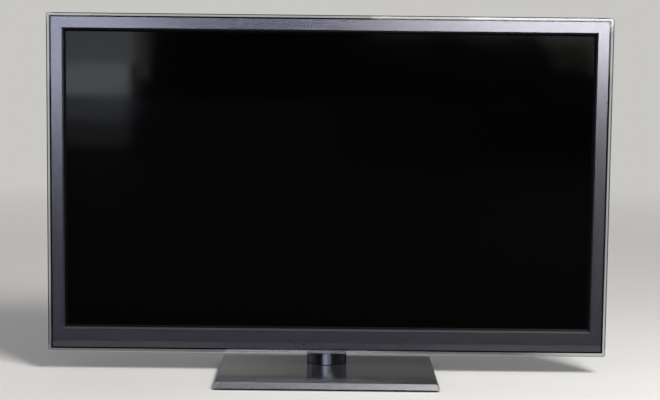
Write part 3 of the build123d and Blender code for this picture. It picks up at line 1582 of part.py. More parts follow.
# Base deck: a thin plate with slanting sides, hollow underneath
with BuildPart() as base_deck:
    deck_levels = (
        (deck_lift, 0),
        (base_height - deck_edge, deck_bevel - deck_edge),
        (base_height, deck_bevel),
    )
    for height, inset in deck_levels:
        with BuildSketch(Plane.XY.offset(height)):
            Rectangle(base_width - 2 * inset, base_depth - 2 * inset)
            chamfer(vertices().group_by(Axis.Y)[0], deck_front_corner)
            fillet(vertices().group_by(Axis.Y)[-1], deck_back_corner)
    loft(ruled=True)
    hollow_inset = deck_bevel + deck_wall
    with BuildSketch(Plane.XY.offset(deck_lift - overrun)):
        RectangleRounded(base_width - 2 * hollow_inset, base_depth - 2 * hollow_inset, weight_corner)
    extrude(amount=base_height - deck_wall - deck_lift + overrun, mode=Mode.SUBTRACT)
    with BuildSketch(Plane.XY.offset(weight_back)):
        with Locations(*deck_screw_spots):
            Rectangle(deck_boss_width, deck_boss_width)
    extrude(amount=base_height - deck_wall - weight_back)
    with BuildSketch(Plane.XY.offset(weight_back)):
        with Locations(*deck_screw_spots):
            RegularPolygon(base_screw_radius + press_gap, screw_sides)
    extrude(amount=base_height - deck_wall - weight_back, mode=Mode.SUBTRACT)
    with BuildSketch(Plane.XY.offset(deck_lift)):
        with Locations((0, neck_y)):
            Circle(spindle_flange_radius + deck_hole_gap)
    extrude(amount=base_height, mode=Mode.SUBTRACT)
base_deck.part.label = "base_deck"
export_step(base_deck.part, "parts/base_deck.step")

# Base frame: the steel plate that gives the stand its weight
frame_inset = hollow_inset + seat_gap
with BuildPart() as base_frame:
    with BuildSketch(Plane.XY.offset(foot_thickness)):
        RectangleRounded(base_width - 2 * frame_inset, base_depth - 2 * frame_inset, weight_corner)
        with Locations(*base_screw_spots):
            RegularPolygon(base_screw_radius + screw_hole_gap, screw_sides, mode=Mode.SUBTRACT)
    extrude(amount=weight_thickness)
base_frame.part.label = "base_frame"
export_step(base_frame.part, "parts/base_frame.step")

# Base feet
foot_column_pitch = (base_width - 2 * foot_inset) / (foot_columns - 1)
foot_row_pitch = (base_depth - 2 * foot_inset) / (foot_rows - 1)
with BuildPart() as base_feet:
    with BuildSketch(Plane.XY):
        with GridLocations(foot_column_pitch, foot_row_pitch, foot_columns, foot_rows):
            Circle(foot_radius)
    extrude(amount=foot_thickness)
base_feet.part.label = "base_feet"
export_step(base_feet.part, "parts/base_feet.step")

# Base screws, for the deck and for the spindle
deck_screw_length = weight_thickness + base_height - deck_wall - weight_back - tip_clearance
spindle_screw_length = weight_thickness + flange_high - weight_back - tip_clearance
with BuildPart() as base_screws:
    with BuildSketch(Plane.XY.offset(foot_thickness - base_head_height)):
        with Locations(*base_screw_spots):
            Circle(base_head_radius)
    extrude(amount=base_head_height)
    with BuildSketch(Plane.XY.offset(foot_thickness)):
        with Locations(*deck_screw_spots):
            RegularPolygon(base_screw_radius, screw_sides)
    extrude(amount=deck_screw_length)
    with BuildSketch(Plane.XY.offset(foot_thickness)):
        with Locations(*spindle_screw_spots):
            RegularPolygon(base_screw_radius, screw_sides)
    extrude(amount=spindle_screw_length)
base_screws.part.label = "base_screws"
export_step(base_screws.part, "parts/base_screws.step")

# Swivel spindle: a flange with the stop pin, the shaft and its thread
with BuildPart() as swivel_spindle:
    with BuildSketch(Plane.XY.offset(weight_back)):
        with Locations((0, neck_y)):
            Circle(spindle_flange_radius)
    extrude(amount=flange_high - weight_back)
    with BuildSketch(Plane.XY.offset(flange_high)):
        with Locations((0, neck_y)):
            Circle(spindle_radius)
    extrude(amount=shaft_high - flange_high)
    with BuildSketch(Plane.XY.offset(shaft_high)):
        with Locations((0, neck_y)):
            Circle(thread_radius)
    extrude(amount=thread_length)
    with BuildSketch(Plane.XY.offset(flange_high)):
        with Locations((0, neck_y + stop_pin_circle)):
            Circle(stop_pin_radius)
    extrude(amount=stop_pin_rise)
    with BuildSketch(Plane.XY.offset(weight_back)):
        with Locations((0, neck_y)):
            Circle(spindle_bore_radius)
    extrude(amount=thread_high - weight_back, mode=Mode.SUBTRACT)
    with BuildSketch(Plane.XY.offset(weight_back)):
        with Locations(*spindle_screw_spots):
            RegularPolygon(base_screw_radius + press_gap, screw_sides)
    extrude(amount=flange_high - weight_back - blind_wall, mode=Mode.SUBTRACT)
swivel_spindle.part.label = "swivel_spindle"
export_step(swivel_spindle.part, "parts/swivel_spindle.step")

# Thrust washer
with BuildPart() as thrust_washer:
    with BuildSketch(Plane.XY.offset(flange_high)):
        with Locations((0, neck_y)):
            Circle(thrust_radius)
            Circle(spindle_radius + seat_gap, mode=Mode.SUBTRACT)
    extrude(amount=thrust_thickness)
thrust_washer.part.label = "thrust_washer"
export_step(thrust_washer.part, "parts/thrust_washer.step")

# Spindle nut, with its own washer face
with BuildPart() as spindle_nut:
    with BuildSketch(Plane.XY.offset(shaft_high)):
        with Locations((0, neck_y)):
            Circle(nut_flange_radius)
            Circle(thread_radius + press_gap, mode=Mode.SUBTRACT)
    extrude(amount=nut_flange_thickness)
    with BuildSketch(Plane.XY.offset(shaft_high + nut_flange_thickness)):
        with Locations((0, neck_y)):
            RegularPolygon(nut_across_flats / 2, 6, major_radius=False)
            Circle(thread_radius + press_gap, mode=Mode.SUBTRACT)
    extrude(amount=nut_height)
spindle_nut.part.label = "spindle_nut"
export_step(spindle_nut.part, "parts/spindle_nut.step")
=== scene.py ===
import math
import bpy
import numpy as np
from mathutils import Matrix, Vector


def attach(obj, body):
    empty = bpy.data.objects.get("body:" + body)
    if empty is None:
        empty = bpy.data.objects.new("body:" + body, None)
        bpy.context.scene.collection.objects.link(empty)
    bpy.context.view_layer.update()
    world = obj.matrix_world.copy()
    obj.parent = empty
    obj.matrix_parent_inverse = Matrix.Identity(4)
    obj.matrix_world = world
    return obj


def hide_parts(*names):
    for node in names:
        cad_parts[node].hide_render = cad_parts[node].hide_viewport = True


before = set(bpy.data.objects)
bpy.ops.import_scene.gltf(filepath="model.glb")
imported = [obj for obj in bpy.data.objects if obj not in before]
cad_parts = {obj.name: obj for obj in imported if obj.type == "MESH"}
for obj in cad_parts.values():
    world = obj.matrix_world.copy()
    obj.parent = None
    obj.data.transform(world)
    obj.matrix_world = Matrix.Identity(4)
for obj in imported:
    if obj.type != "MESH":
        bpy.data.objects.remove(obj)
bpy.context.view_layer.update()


# Camera: it stands 3.5 m in front of the set at the height of the screen's upper edge, looks a little
# down and is rolled by half a degree. Its lens is given by the focal length in pixels of the picture.
sight = Vector((-0.0057, -3.4526, 0.7468))
pitch, yaw, roll = (math.radians(angle) for angle in (6.157, 0.148, 0.615))
forward = Vector((math.sin(yaw) * math.cos(pitch), math.cos(yaw) * math.cos(pitch), -math.sin(pitch)))
level = Vector((math.cos(yaw), -math.sin(yaw), 0.0))
lifted = level.cross(forward)
rightward = math.cos(roll) * level + math.sin(roll) * lifted
upward = -math.sin(roll) * level + math.cos(roll) * lifted
sensor_width, picture_width, focal_pixels = 36.0, 660.0, 1664.2
lens = bpy.data.cameras.new("lens")
lens.sensor_width = sensor_width
lens.lens = sensor_width / picture_width * focal_pixels
camera = bpy.data.objects.new("camera", lens)
turned_to_set = Matrix((rightward, upward, -forward)).transposed().to_4x4()
camera.matrix_world = Matrix.Translation(sight) @ turned_to_set
bpy.context.scene.collection.objects.link(camera)
bpy.context.scene.camera = camera
bpy.context.scene.view_settings.view_transform = "Standard"


# Lamps: a soft key stands above the right shoulder and lights the set. Soft windows hang far behind
# the camera on the right and the left, where the bezel and the glass mirror a light in the photo.
def soft_light(name, place, aim, width, height, radiance, colour):
    """A rectangular lamp of that radiance: its power is radiance times area times pi."""
    lamp = bpy.data.lights.new(name, "AREA")
    lamp.shape = "RECTANGLE"
    lamp.size, lamp.size_y = width, height
    lamp.energy = radiance * width * height * math.pi
    lamp.color = colour
    stand = bpy.data.objects.new(name, lamp)
    stand.location = place
    stand.rotation_euler = (Vector(aim) - Vector(place)).to_track_quat("-Z", "Y").to_euler()
    stand.visible_camera = False
    bpy.context.scene.collection.objects.link(stand)


def window(name, left, right, low, high, radiance, colour):
    """A soft light 6 m in front of the set that faces it squarely."""
    middle = ((left + right) / 2, -6.0, (low + high) / 2)
    soft_light(name, middle, (middle[0], 0.0, middle[2]), right - left, high - low, radiance, colour)


soft_light("key", (1.5, -2.2, 2.6), (0.0, 0.0, 0.3), 1.3, 1.0, 33.0, (1.0, 0.985, 0.96))
window("right_high", 0.80, 2.40, 0.72, 1.04, 9.0, (1.0, 0.99, 0.96))
window("right_edge", 0.25, 0.80, 0.72, 1.00, 4.6, (1.0, 0.98, 0.97))
window("right_low", 1.52, 2.40, 0.46, 0.72, 1.7, (1.0, 0.98, 0.95))
window("right_glow", 1.22, 1.52, 0.61, 0.72, 0.75, (1.0, 0.93, 0.72))
window("right_faint", 1.27, 1.52, 0.48, 0.61, 0.28, (1.0, 0.93, 0.75))
window("left_top", -2.10, -1.35, 0.75, 1.10, 1.5, (0.80, 0.89, 1.0))
window("left_side", -2.05, -1.53, 0.40, 0.75, 1.3, (0.76, 0.87, 1.0))
window("left_high", -1.53, -1.10, 0.49, 0.75, 2.7, (0.90, 0.94, 1.0))
window("left_fringe", -1.10, -1.02, 0.40, 0.75, 0.9, (1.0, 0.98, 0.90))
window("left_middle", -1.53, -1.13, 0.31, 0.49, 4.6, (0.88, 0.94, 1.0))
window("left_low", -1.53, -1.13, 0.17, 0.31, 1.35, (0.90, 0.95, 1.0))
window("left_foot", -1.53, -1.13, 0.02, 0.17, 0.5, (0.95, 0.97, 1.0))


# Surround: a plain pale room round the set. Glossy rays that leave forward meet a dark front, so
# that the screen stays black, and in it a low strip of skylight left of the camera, which the neck
# and the deck mirror. All other rays meet an even light.
def spread(material, value, low, high, start=0.3, end=0.7):
    """The value carried from the range start to end onto low to high, and held there."""
    tree = material.node_tree
    steps = tree.nodes.new("ShaderNodeMapRange")
    for socket, number in (("From Min", start), ("From Max", end), ("To Min", low), ("To Max", high)):
        steps.inputs[socket].default_value = number
    tree.links.new(value, steps.inputs["Value"])
    return steps.outputs["Result"]


def arithmetic(material, operation, *values):
    """One step of arithmetic between outputs or numbers."""
    tree = material.node_tree
    step = tree.nodes.new("ShaderNodeMath")
    step.operation = operation
    for index, value in enumerate(values):
        if isinstance(value, (int, float)):
            step.inputs[index].default_value = value
        else:
            tree.links.new(value, step.inputs[index])
    return step.outputs["Value"]


def band(material, value, rise_start, rise_end, fall_start, fall_end):
    """1 between two soft edges of the value and 0 beyond them."""
    rise = spread(material, value, 0.0, 1.0, rise_start, rise_end)
    fall = spread(material, value, 1.0, 0.0, fall_start, fall_end)
    return arithmetic(material, "MINIMUM", rise, fall)


def blend(material, factor, first, second):
    """Colour between two, each a colour or another node's output, by the factor."""
    tree = material.node_tree
    mix = tree.nodes.new("ShaderNodeMix")
    mix.data_type = "RGBA"
    tree.links.new(factor, mix.inputs["Factor"])
    for socket, colour in (("A", first), ("B", second)):
        if isinstance(colour, tuple):
            mix.inputs[socket].default_value = (*colour, 1.0)
        else:
            tree.links.new(colour, mix.inputs[socket])
    return mix.outputs["Result"]


pale, dark_front, skylight_blue = (0.575, 0.568, 0.552), (0.020, 0.019, 0.027), (11.2, 12.0, 14.3)
surround = bpy.data.worlds.new("surround")
bpy.context.scene.world = surround
surround.use_nodes = True
sky = surround.node_tree
ray = sky.nodes.new("ShaderNodeLightPath").outputs
heading = sky.nodes.new("ShaderNodeTexCoord")
parts = sky.nodes.new("ShaderNodeSeparateXYZ")
sky.links.new(heading.outputs["Generated"], parts.inputs["Vector"])
aside, back, up = parts.outputs
backward = arithmetic(surround, "MULTIPLY_ADD", up, 0.4, back)
behind_set = spread(surround, backward, 0.0, 1.0, -0.45, 0.25)
to_the_right = spread(surround, aside, 0.0, 1.0, -0.08, 0.0)
behind_colour = blend(surround, to_the_right, pale, (0.25, 0.245, 0.24))
mirrored = blend(surround, behind_set, dark_front, behind_colour)
skylight_height = band(surround, up, 0.120, 0.150, 0.195, 0.235)
skylight_width = band(surround, aside, -0.48, -0.02, 0.02, 0.05)
skylight = arithmetic(surround, "MULTIPLY", skylight_height, skylight_width)
skylight = arithmetic(surround, "MULTIPLY", skylight, arithmetic(surround, "LESS_THAN", back, 0.0))
mirrored = blend(surround, skylight, mirrored, skylight_blue)
lighting = blend(surround, ray["Is Glossy Ray"], (0.34, 0.34, 0.35), mirrored)
seen = arithmetic(surround, "MAXIMUM", ray["Is Camera Ray"], ray["Is Transmission Ray"])
sky.links.new(blend(surround, seen, lighting, pale), sky.nodes["Background"].inputs["Color"])


# Table top: a large pale lacquered board under the set, which fades into the surround far away. To
# glossy rays its front is dim, so that the set's lower edge mirrors as little of it as in the photo.
def finish(name, colour, roughness, metallic=0.0, **sockets):
    """A material of one shader. Plain values are set on the shader's own sockets."""
    material = bpy.data.materials.new(name)
    material.use_nodes = True
    shader = material.node_tree.nodes["Principled BSDF"]
    shader.inputs["Base Color"].default_value = (*colour, 1.0)
    shader.inputs["Roughness"].default_value = roughness
    shader.inputs["Metallic"].default_value = metallic
    for socket, value in sockets.items():
        shader.inputs[socket.replace("_", " ")].default_value = value
    return material


def grain(material, per_metre, stretch=(1.0, 1.0, 1.0), detail=2.0, turn=(0.0, 0.0, 0.0)):
    """Fractal noise on object coordinates, about 0.3 to 0.7, its spots stretched along the axes."""
    tree = material.node_tree
    place = tree.nodes.new("ShaderNodeTexCoord")
    scale = tree.nodes.new("ShaderNodeMapping")
    scale.inputs["Scale"].default_value = stretch
    scale.inputs["Rotation"].default_value = turn
    noise = tree.nodes.new("ShaderNodeTexNoise")
    noise.inputs["Scale"].default_value = per_metre
    noise.inputs["Detail"].default_value = detail
    tree.links.new(place.outputs["Object"], scale.inputs["Vector"])
    tree.links.new(scale.outputs["Vector"], noise.inputs["Vector"])
    return noise.outputs["Fac"]


def along(material, axis, low, high, first=0.0, last=1.0):
    """first to last as the place goes from low to high along an axis of the object, in metres."""
    tree = material.node_tree
    place = tree.nodes.new("ShaderNodeTexCoord")
    split = tree.nodes.new("ShaderNodeSeparateXYZ")
    tree.links.new(place.outputs["Object"], split.inputs["Vector"])
    return spread(material, split.outputs[axis], first, last, low, high)


def drive(material, socket, value):
    """Links a varying value or colour to the shader."""
    tree = material.node_tree
    tree.links.new(value, tree.nodes["Principled BSDF"].inputs[socket])


def polish(material, pattern, low, high):
    """Roughness from low to high by a pattern of 0.3 to 0.7."""
    drive(material, "Roughness", spread(material, pattern, low, high))


table_top = finish("table_top", (0.78, 0.77, 0.75), 0.62, Specular_IOR_Level=0.04)
tree = table_top.node_tree
table_cloud = spread(table_top, grain(table_top, 1.6, detail=3.0), 0.0, 1.0)
table_ray = tree.nodes.new("ShaderNodeLightPath").outputs
is_glossy = table_ray["Is Glossy Ray"]
dim_front = arithmetic(table_top, "MULTIPLY", is_glossy, along(table_top, "Y", 0.10, -0.06))
table_pale = blend(table_top, table_cloud, (0.775, 0.765, 0.745), (0.80, 0.79, 0.77))
drive(table_top, "Base Color", blend(table_top, dim_front, table_pale, (0.027, 0.0255, 0.033)))
polish(table_top, grain(table_top, 60.0), 0.58, 0.68)
mirrored_behind = arithmetic(table_top, "MULTIPLY", is_glossy, along(table_top, "Y", 0.2, 0.9))
through = arithmetic(table_top, "MAXIMUM", table_ray["Is Camera Ray"], table_ray["Is Transmission Ray"])
table_place = tree.nodes.new("ShaderNodeTexCoord")
table_reach = tree.nodes.new("ShaderNodeVectorMath")
table_reach.operation = "LENGTH"
tree.links.new(table_place.outputs["Object"], table_reach.inputs[0])
far_away = spread(table_top, table_reach.outputs["Value"], 0.0, 1.0, 1.1, 4.2)
may_fade = arithmetic(table_top, "MAXIMUM", through, mirrored_behind)
fading = arithmetic(table_top, "MULTIPLY", far_away, may_fade)
haze = tree.nodes.new("ShaderNodeEmission")
haze.inputs["Color"].default_value = (*pale, 1.0)
into_surround = tree.nodes.new("ShaderNodeMixShader")
tree.links.new(fading, into_surround.inputs[0])
tree.links.new(tree.nodes["Principled BSDF"].outputs["BSDF"], into_surround.inputs[1])
tree.links.new(haze.outputs["Emission"], into_surround.inputs[2])
tree.links.new(into_surround.outputs["Shader"], tree.nodes["Material Output"].inputs["Surface"])
reach = 12.0
table_mesh = bpy.data.meshes.new("table_top")
table_corners = [(-reach, -reach, 0.0), (reach, -reach, 0.0), (reach, reach, 0.0), (-reach, reach, 0.0)]
table_mesh.from_pydata(table_corners, [], [(0, 1, 2, 3)])
table_mesh.materials.append(table_top)
table = bpy.data.objects.new("table_top", table_mesh)
bpy.context.scene.collection.objects.link(table)


# Base weight: a 6 mm laser-cut steel plate with a black passivated zinc plating. It hangs under the
# deck and keeps the set from tipping.
def tint(material, pattern, dark, light, start=0.3, end=0.7):
    """Base colour from dark to light as a pattern goes from start to end."""
    share = spread(material, pattern, 0.0, 1.0, start, end)
    drive(material, "Base Color", blend(material, share, dark, light))


def relief(material, height, depth):
    """Surface relief from a height of 0 to 1, so many metres deep."""
    tree = material.node_tree
    bump = tree.nodes.new("ShaderNodeBump")
    bump.inputs["Strength"].default_value = 1.0
    bump.inputs["Distance"].default_value = depth
    tree.links.new(height, bump.inputs["Height"])
    tree.links.new(bump.outputs["Normal"], tree.nodes["Principled BSDF"].inputs["Normal"])


def dress(material, *names):
    """Gives the material to these nodes of the model."""
    for name in names:
        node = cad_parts[name]
        if not node.material_slots:
            node.data.materials.append(material)
        for slot in node.material_slots:
            slot.material = material


black_zinc = finish("black_zinc_plate", (0.035, 0.036, 0.040), 0.45, 0.6)
tint(black_zinc, grain(black_zinc, 70.0, detail=4.0), (0.028, 0.029, 0.033), (0.043, 0.042, 0.041))
polish(black_zinc, grain(black_zinc, 300.0), 0.38, 0.56)
relief(black_zinc, grain(black_zinc, 900.0), 0.00002)
dress(black_zinc, "base_frame")


# Steel parts of the stand and the chassis: the spindle and its nut, the neck pole, and the pressed
# rails, straps, brackets and plates, zinc plated with a clear passivation.
zinc = finish("zinc_plate", (0.56, 0.57, 0.56), 0.36, 1.0)
spangle = grain(zinc, 90.0, detail=3.0)
brushing = grain(zinc, 400.0, (1.0, 1.0, 0.06))
tint(zinc, spangle, (0.47, 0.48, 0.48), (0.62, 0.62, 0.60))
polish(zinc, spangle, 0.30, 0.46)
relief(zinc, brushing, 0.00001)
dress(zinc, "swivel_spindle", "spindle_nut", "neck_pole", "neck_bracket", "stand_holder")
dress(zinc, "panel_straps", "mount_rails", "wall_mount_bushes", "terminal_plates")


# Feet: six pads pressed from black rubber, stuck under the weight, with a fine grain and a little
# dust on them.
rubber = finish("foot_rubber", (0.03, 0.03, 0.03), 0.85, Specular_IOR_Level=0.3)
tint(rubber, grain(rubber, 350.0), (0.022, 0.022, 0.022), (0.075, 0.072, 0.068), 0.50, 0.90)
relief(rubber, grain(rubber, 1800.0), 0.00004)
dress(rubber, "base_feet")


# Deck: a moulded plate in dark satin lacquer, polished enough to mirror the neck. Its front bevel is
# a bright brushed strip, its side and back bevels are dark, and fine dust lies on it.
deck = finish("deck_lacquer", (0.020, 0.020, 0.021), 0.13, Specular_IOR_Level=0.13)


def facing(material, axis, low, high):
    """0 to 1 as the surface's own normal turns from low to high along an axis of the object."""
    tree = material.node_tree
    place = tree.nodes.new("ShaderNodeTexCoord")
    split = tree.nodes.new("ShaderNodeSeparateXYZ")
    tree.links.new(place.outputs["Normal"], split.inputs["Vector"])
    return spread(material, split.outputs[axis], 0.0, 1.0, low, high)


front_bevel = facing(deck, "Y", -0.55, -0.65)
deck_dust = spread(deck, grain(deck, 900.0, detail=3.0), 0.0, 1.0, 0.62, 0.80)
deck_smear = grain(deck, 9.0, (1.0, 2.5, 1.0), detail=4.0)
bevel_lines = spread(deck, grain(deck, 1500.0, (0.003, 1.0, 1.0)), 0.0, 1.0)
deck_top_colour = blend(deck, deck_dust, (0.020, 0.020, 0.021), (0.055, 0.053, 0.051))
bevel_colour = blend(deck, bevel_lines, (0.60, 0.615, 0.645), (0.68, 0.69, 0.71))
drive(deck, "Base Color", blend(deck, front_bevel, deck_top_colour, bevel_colour))
drive(deck, "Metallic", front_bevel)
bevel_roughness = 0.27
top_roughness = spread(deck, deck_smear, 0.11, 0.16)
beside_bevel = arithmetic(deck, "SUBTRACT", 1.0, front_bevel)
smoother = arithmetic(deck, "SUBTRACT", top_roughness, bevel_roughness)
drive(deck, "Roughness", arithmetic(deck, "MULTIPLY_ADD", smoother, beside_bevel, bevel_roughness))
dress(deck, "base_deck")


# Base screws: twelve round-head screws with cross recesses, driven up through the weight. Eight hold
# it to the deck and four hold the spindle. They are blackened steel, as the bolts in the neck are.
black_screw = finish("blackened_steel", (0.075, 0.075, 0.08), 0.40, 0.85)
oxide = grain(black_screw, 1500.0)
tint(black_screw, oxide, (0.05, 0.05, 0.055), (0.12, 0.115, 0.11))
polish(black_screw, oxide, 0.32, 0.52)
relief(black_screw, grain(black_screw, 4000.0), 0.00001)
dress(black_screw, "bracket_screws", "foot_bolts")


def shells(name, rings, material, body, hollow=False):
    """One mesh of closed shells. rings holds shells, rings, points and the three coordinates: each
    ring joins the next, and the last point of a ring its first. A fan to the ring's middle closes
    each end, or the last ring joins the first where the shell is hollow. A negative volume, the sum
    of the triple products of the faces' corners, turns all faces over."""
    count, rows, columns = rings.shape[:3]
    ends = np.stack((rings[:, 0].mean(axis=1), rings[:, -1].mean(axis=1)), axis=1)
    places = np.concatenate((rings.reshape(count, -1, 3), ends), axis=1)
    index = np.arange(rows * columns).reshape(rows, columns)
    beside = np.roll(index, -1, axis=1)
    follow, beside_follow = np.roll(index, -1, axis=0), np.roll(beside, -1, axis=0)
    quads = np.stack((index, beside, beside_follow, follow), axis=-1)
    quads = (quads if hollow else quads[:-1]).reshape(-1, 4)
    pole = np.full(columns, rows * columns)
    first_fan = np.stack((pole, beside[0], index[0]), axis=-1)
    last_fan = np.stack((pole + 1, index[-1], beside[-1]), axis=-1)
    fans = np.concatenate((first_fan, last_fan))
    if hollow:
        fans, places = fans[:0], places[:, :-2]
    corners = places[0][np.concatenate((quads[:, :3], quads[:, [0, 2, 3]], fans))]
    if np.einsum("ij,ij->", corners[:, 0], np.cross(corners[:, 1], corners[:, 2])) < 0:
        quads, fans = quads[:, ::-1], fans[:, ::-1]
    step = places.shape[1] * np.arange(count)[:, None, None]
    faces = (quads + step).reshape(-1, 4).tolist() + (fans + step).reshape(-1, 3).tolist()
    mesh = bpy.data.meshes.new(name)
    mesh.from_pydata(places.reshape(-1, 3).tolist(), [], faces)
    mesh.shade_smooth()
    mesh.set_sharp_from_angle(angle=math.radians(35.0))
    mesh.materials.append(material)
    piece = bpy.data.objects.new(name, mesh)
    bpy.context.scene.collection.objects.link(piece)
    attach(piece, body)
    return piece


def turned(places, radius, height, columns, across=(1, 0, 0), over=(0, 1, 0), outward=(0, 0, 1)):
    """A profile turned about a line through each place: a point lies radius times the cosine of its
    angle along across, radius times the sine along over, and height along outward."""
    angle = np.linspace(0.0, 2.0 * np.pi, columns, endpoint=False)
    radius, height = np.broadcast_arrays(radius, height + 0.0 * angle)
    local = np.stack((radius * np.cos(angle), radius * np.sin(angle), height), axis=-1)
    return np.array(places)[:, None, None, :] + local @ np.array((across, over, outward), dtype=float)


def screws(places, head_radius, head_height, shank_radius, length, across, over, outward):
    """Round heads: the dome falls as the cube of the radius. The cross is sunk where a point lies
    inside one of two crossed bars with sloping walls. The shank hangs below with a blunt tip."""
    columns, cross_rings, cross_depth = 32, 9, 0.55 * head_height
    share = np.array((0.06, 0.16, 0.26, 0.36, 0.46, 0.54, 0.62, 0.74, 0.86, 0.95, 1.0, 1.0, 0.98))
    rise = 1.0 - 0.5 * share**3
    rise[-2:] = (0.10, 0.0)
    radius = np.concatenate((share * head_radius, (shank_radius,) * 2, (0.6 * shank_radius,)))[:, None]
    height = np.concatenate((rise * head_height, (0.0, 0.6 * shank_radius - length, -length)))[:, None]
    angle = np.linspace(0.0, 2.0 * np.pi, columns, endpoint=False)
    one, other = np.abs(radius * np.cos(angle)), np.abs(radius * np.sin(angle))
    width, span, wall = 0.11 * head_radius, 0.56 * head_radius, 0.09 * head_radius
    bars = [
        np.clip((width + wall - a) / wall, 0.0, 1.0) * np.clip((span + wall - b) / wall, 0.0, 1.0)
        for a, b in ((one, other), (other, one))
    ]
    sunk = np.maximum(*bars) * (np.arange(len(height)) < cross_rings)[:, None]
    return turned(places, radius, height - cross_depth * sunk, columns, across, over, outward)


screw_seat, spindle_y, spindle_corner = 0.0030, 0.079, 0.01909
deck_screws = [(x, y, screw_seat) for x in (-0.180, -0.060, 0.060, 0.180) for y in (-0.095, 0.095)]
spindle_screws = [
    (x, spindle_y + y, screw_seat)
    for x in (-spindle_corner, spindle_corner)
    for y in (-spindle_corner, spindle_corner)
]
base_screw_shape = screws(
    deck_screws + spindle_screws,
    head_radius=0.0040,
    head_height=0.0018,
    shank_radius=0.0019,
    length=0.009,
    across=(1, 0, 0),
    over=(0, 1, 0),
    outward=(0, 0, -1),
)
base_heads = shells("base_screw_heads", base_screw_shape, black_screw, "base")
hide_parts("base_screws")


# Swivel bush and thrust washer: turned from natural nylon, a little translucent. The bush is pressed
# into the pole and turns on the spindle, and the washer carries the screen's weight.
nylon = finish("turned_nylon", (0.82, 0.81, 0.76), 0.42, Subsurface_Weight=0.1, Subsurface_Scale=0.002)
turning = grain(nylon, 900.0, (0.1, 0.1, 3.0))
tint(nylon, grain(nylon, 60.0), (0.80, 0.785, 0.73), (0.86, 0.85, 0.81))
polish(nylon, turning, 0.36, 0.52)
relief(nylon, turning, 0.00002)
dress(nylon, "swivel_bush", "thrust_washer")


# Neck sleeve and neck cover: mouldings plated in smooth black chrome. The sleeve is a plain tube
# round the pole. The cover closes the neck behind the bracket.
chrome = finish("black_chrome", (0.22, 0.225, 0.27), 0.20, 1.0, Specular_Tint=(0.35, 0.35, 0.38, 1.0))
tint(chrome, grain(chrome, 1600.0), (0.22, 0.225, 0.27), (0.30, 0.30, 0.34), 0.66, 0.8)
polish(chrome, grain(chrome, 14.0, detail=5.0), 0.17, 0.22)
relief(chrome, grain(chrome, 45.0), 0.00001)
dress(chrome, "neck_sleeve", "neck_cover")


# Inner frame: the black moulding behind the whole front. Its inner lip beside the glass is satin and
# the walls behind the bezel have a fine spark-eroded grain.
inner = finish("inner_frame_black", (0.003, 0.003, 0.004), 0.30, Specular_IOR_Level=0.10)
behind_rim = along(inner, "Y", 0.0365, 0.0370)
inner_spark = grain(inner, 2600.0)
lip_roughness = spread(inner, grain(inner, 30.0), 0.26, 0.34)
spark_tone = spread(inner, inner_spark, 0.0, 1.0)
frame_tone = blend(inner, spark_tone, (0.010, 0.010, 0.011), (0.022, 0.022, 0.023))
drive(inner, "Base Color", blend(inner, behind_rim, (0.003, 0.003, 0.004), frame_tone))
drive(inner, "Roughness", arithmetic(inner, "MULTIPLY_ADD", behind_rim, 0.26, lip_roughness))
relief(inner, arithmetic(inner, "MULTIPLY", inner_spark, behind_rim), 0.00006)
dress(inner, "inner_frame")


# Clear rim: a milled and polished acrylic plate, faintly smoky, that stands out all round the bezel.
# Its back face within the bezel's outline is painted opaque near black: painted shade for the dark joint
# line beside the bezel.
acrylic = finish("clear_acrylic", (0.66, 0.68, 0.71), 0.03, IOR=1.49, Specular_IOR_Level=0.3)


def beyond(material, axis, centre, half):
    """Distance in metres by which a place lies outside half from the centre along an axis."""
    tree = material.node_tree
    place = tree.nodes.new("ShaderNodeTexCoord")
    split = tree.nodes.new("ShaderNodeSeparateXYZ")
    tree.links.new(place.outputs["Object"], split.inputs["Vector"])
    offset = arithmetic(material, "SUBTRACT", split.outputs[axis], centre)
    return arithmetic(material, "SUBTRACT", arithmetic(material, "ABSOLUTE", offset), half)


past_border = arithmetic(
    acrylic, "MAXIMUM", beyond(acrylic, "X", 0.0, 0.5862), beyond(acrylic, "Z", 0.4003, 0.3520)
)
outside_border = spread(acrylic, past_border, 0.0, 1.0, 0.0, 0.0003)
before_border = along(acrylic, "Y", 0.0356, 0.0358, 1.0, 0.0)
clear = arithmetic(acrylic, "MAXIMUM", outside_border, before_border)
acrylic_tone = spread(acrylic, grain(acrylic, 12.0), 0.0, 1.0)
acrylic_clear = blend(acrylic, acrylic_tone, (0.64, 0.66, 0.69), (0.69, 0.71, 0.74))
# Near black and opaque on the back face within the bezel's outline: painted shade at the joint with the
# bezel.
drive(acrylic, "Base Color", blend(acrylic, clear, (0.008, 0.008, 0.009), acrylic_clear))
drive(acrylic, "Transmission Weight", clear)
polish(acrylic, grain(acrylic, 500.0), 0.02, 0.05)
dress(acrylic, "clear_rim")


# Front bezel: a moulding in graphite metallic lacquer over a very fine hairline grain that runs along
# each rail and meets in mitres at the corners. The back-sloping strip along its foot is satin, and its
# colour is painted lighter than the rails: a painted sheen. Its outer edge and the step above the foot
# rail are painted near black: painted shade at the joint with the rim, and on the step, which is also
# non-metallic and duller, painted shade that dims a lamp's highlight.
graphite = finish("graphite_hairline", (0.29, 0.285, 0.33), 0.20, 1.0)
out_sideways = beyond(graphite, "X", 0.0, 0.5555)
out_upright = beyond(graphite, "Z", 0.4095, 0.3140)
on_side = arithmetic(graphite, "GREATER_THAN", out_sideways, out_upright)
level_lines = grain(graphite, 4000.0, (0.003, 0.1, 1.0), detail=1.0)
upright_lines = grain(graphite, 4000.0, (1.0, 0.1, 0.003), detail=1.0)
tree = graphite.node_tree
by_rail = tree.nodes.new("ShaderNodeMix")
by_rail.data_type = "FLOAT"
tree.links.new(on_side, by_rail.inputs["Factor"])
tree.links.new(level_lines, by_rail.inputs["A"])
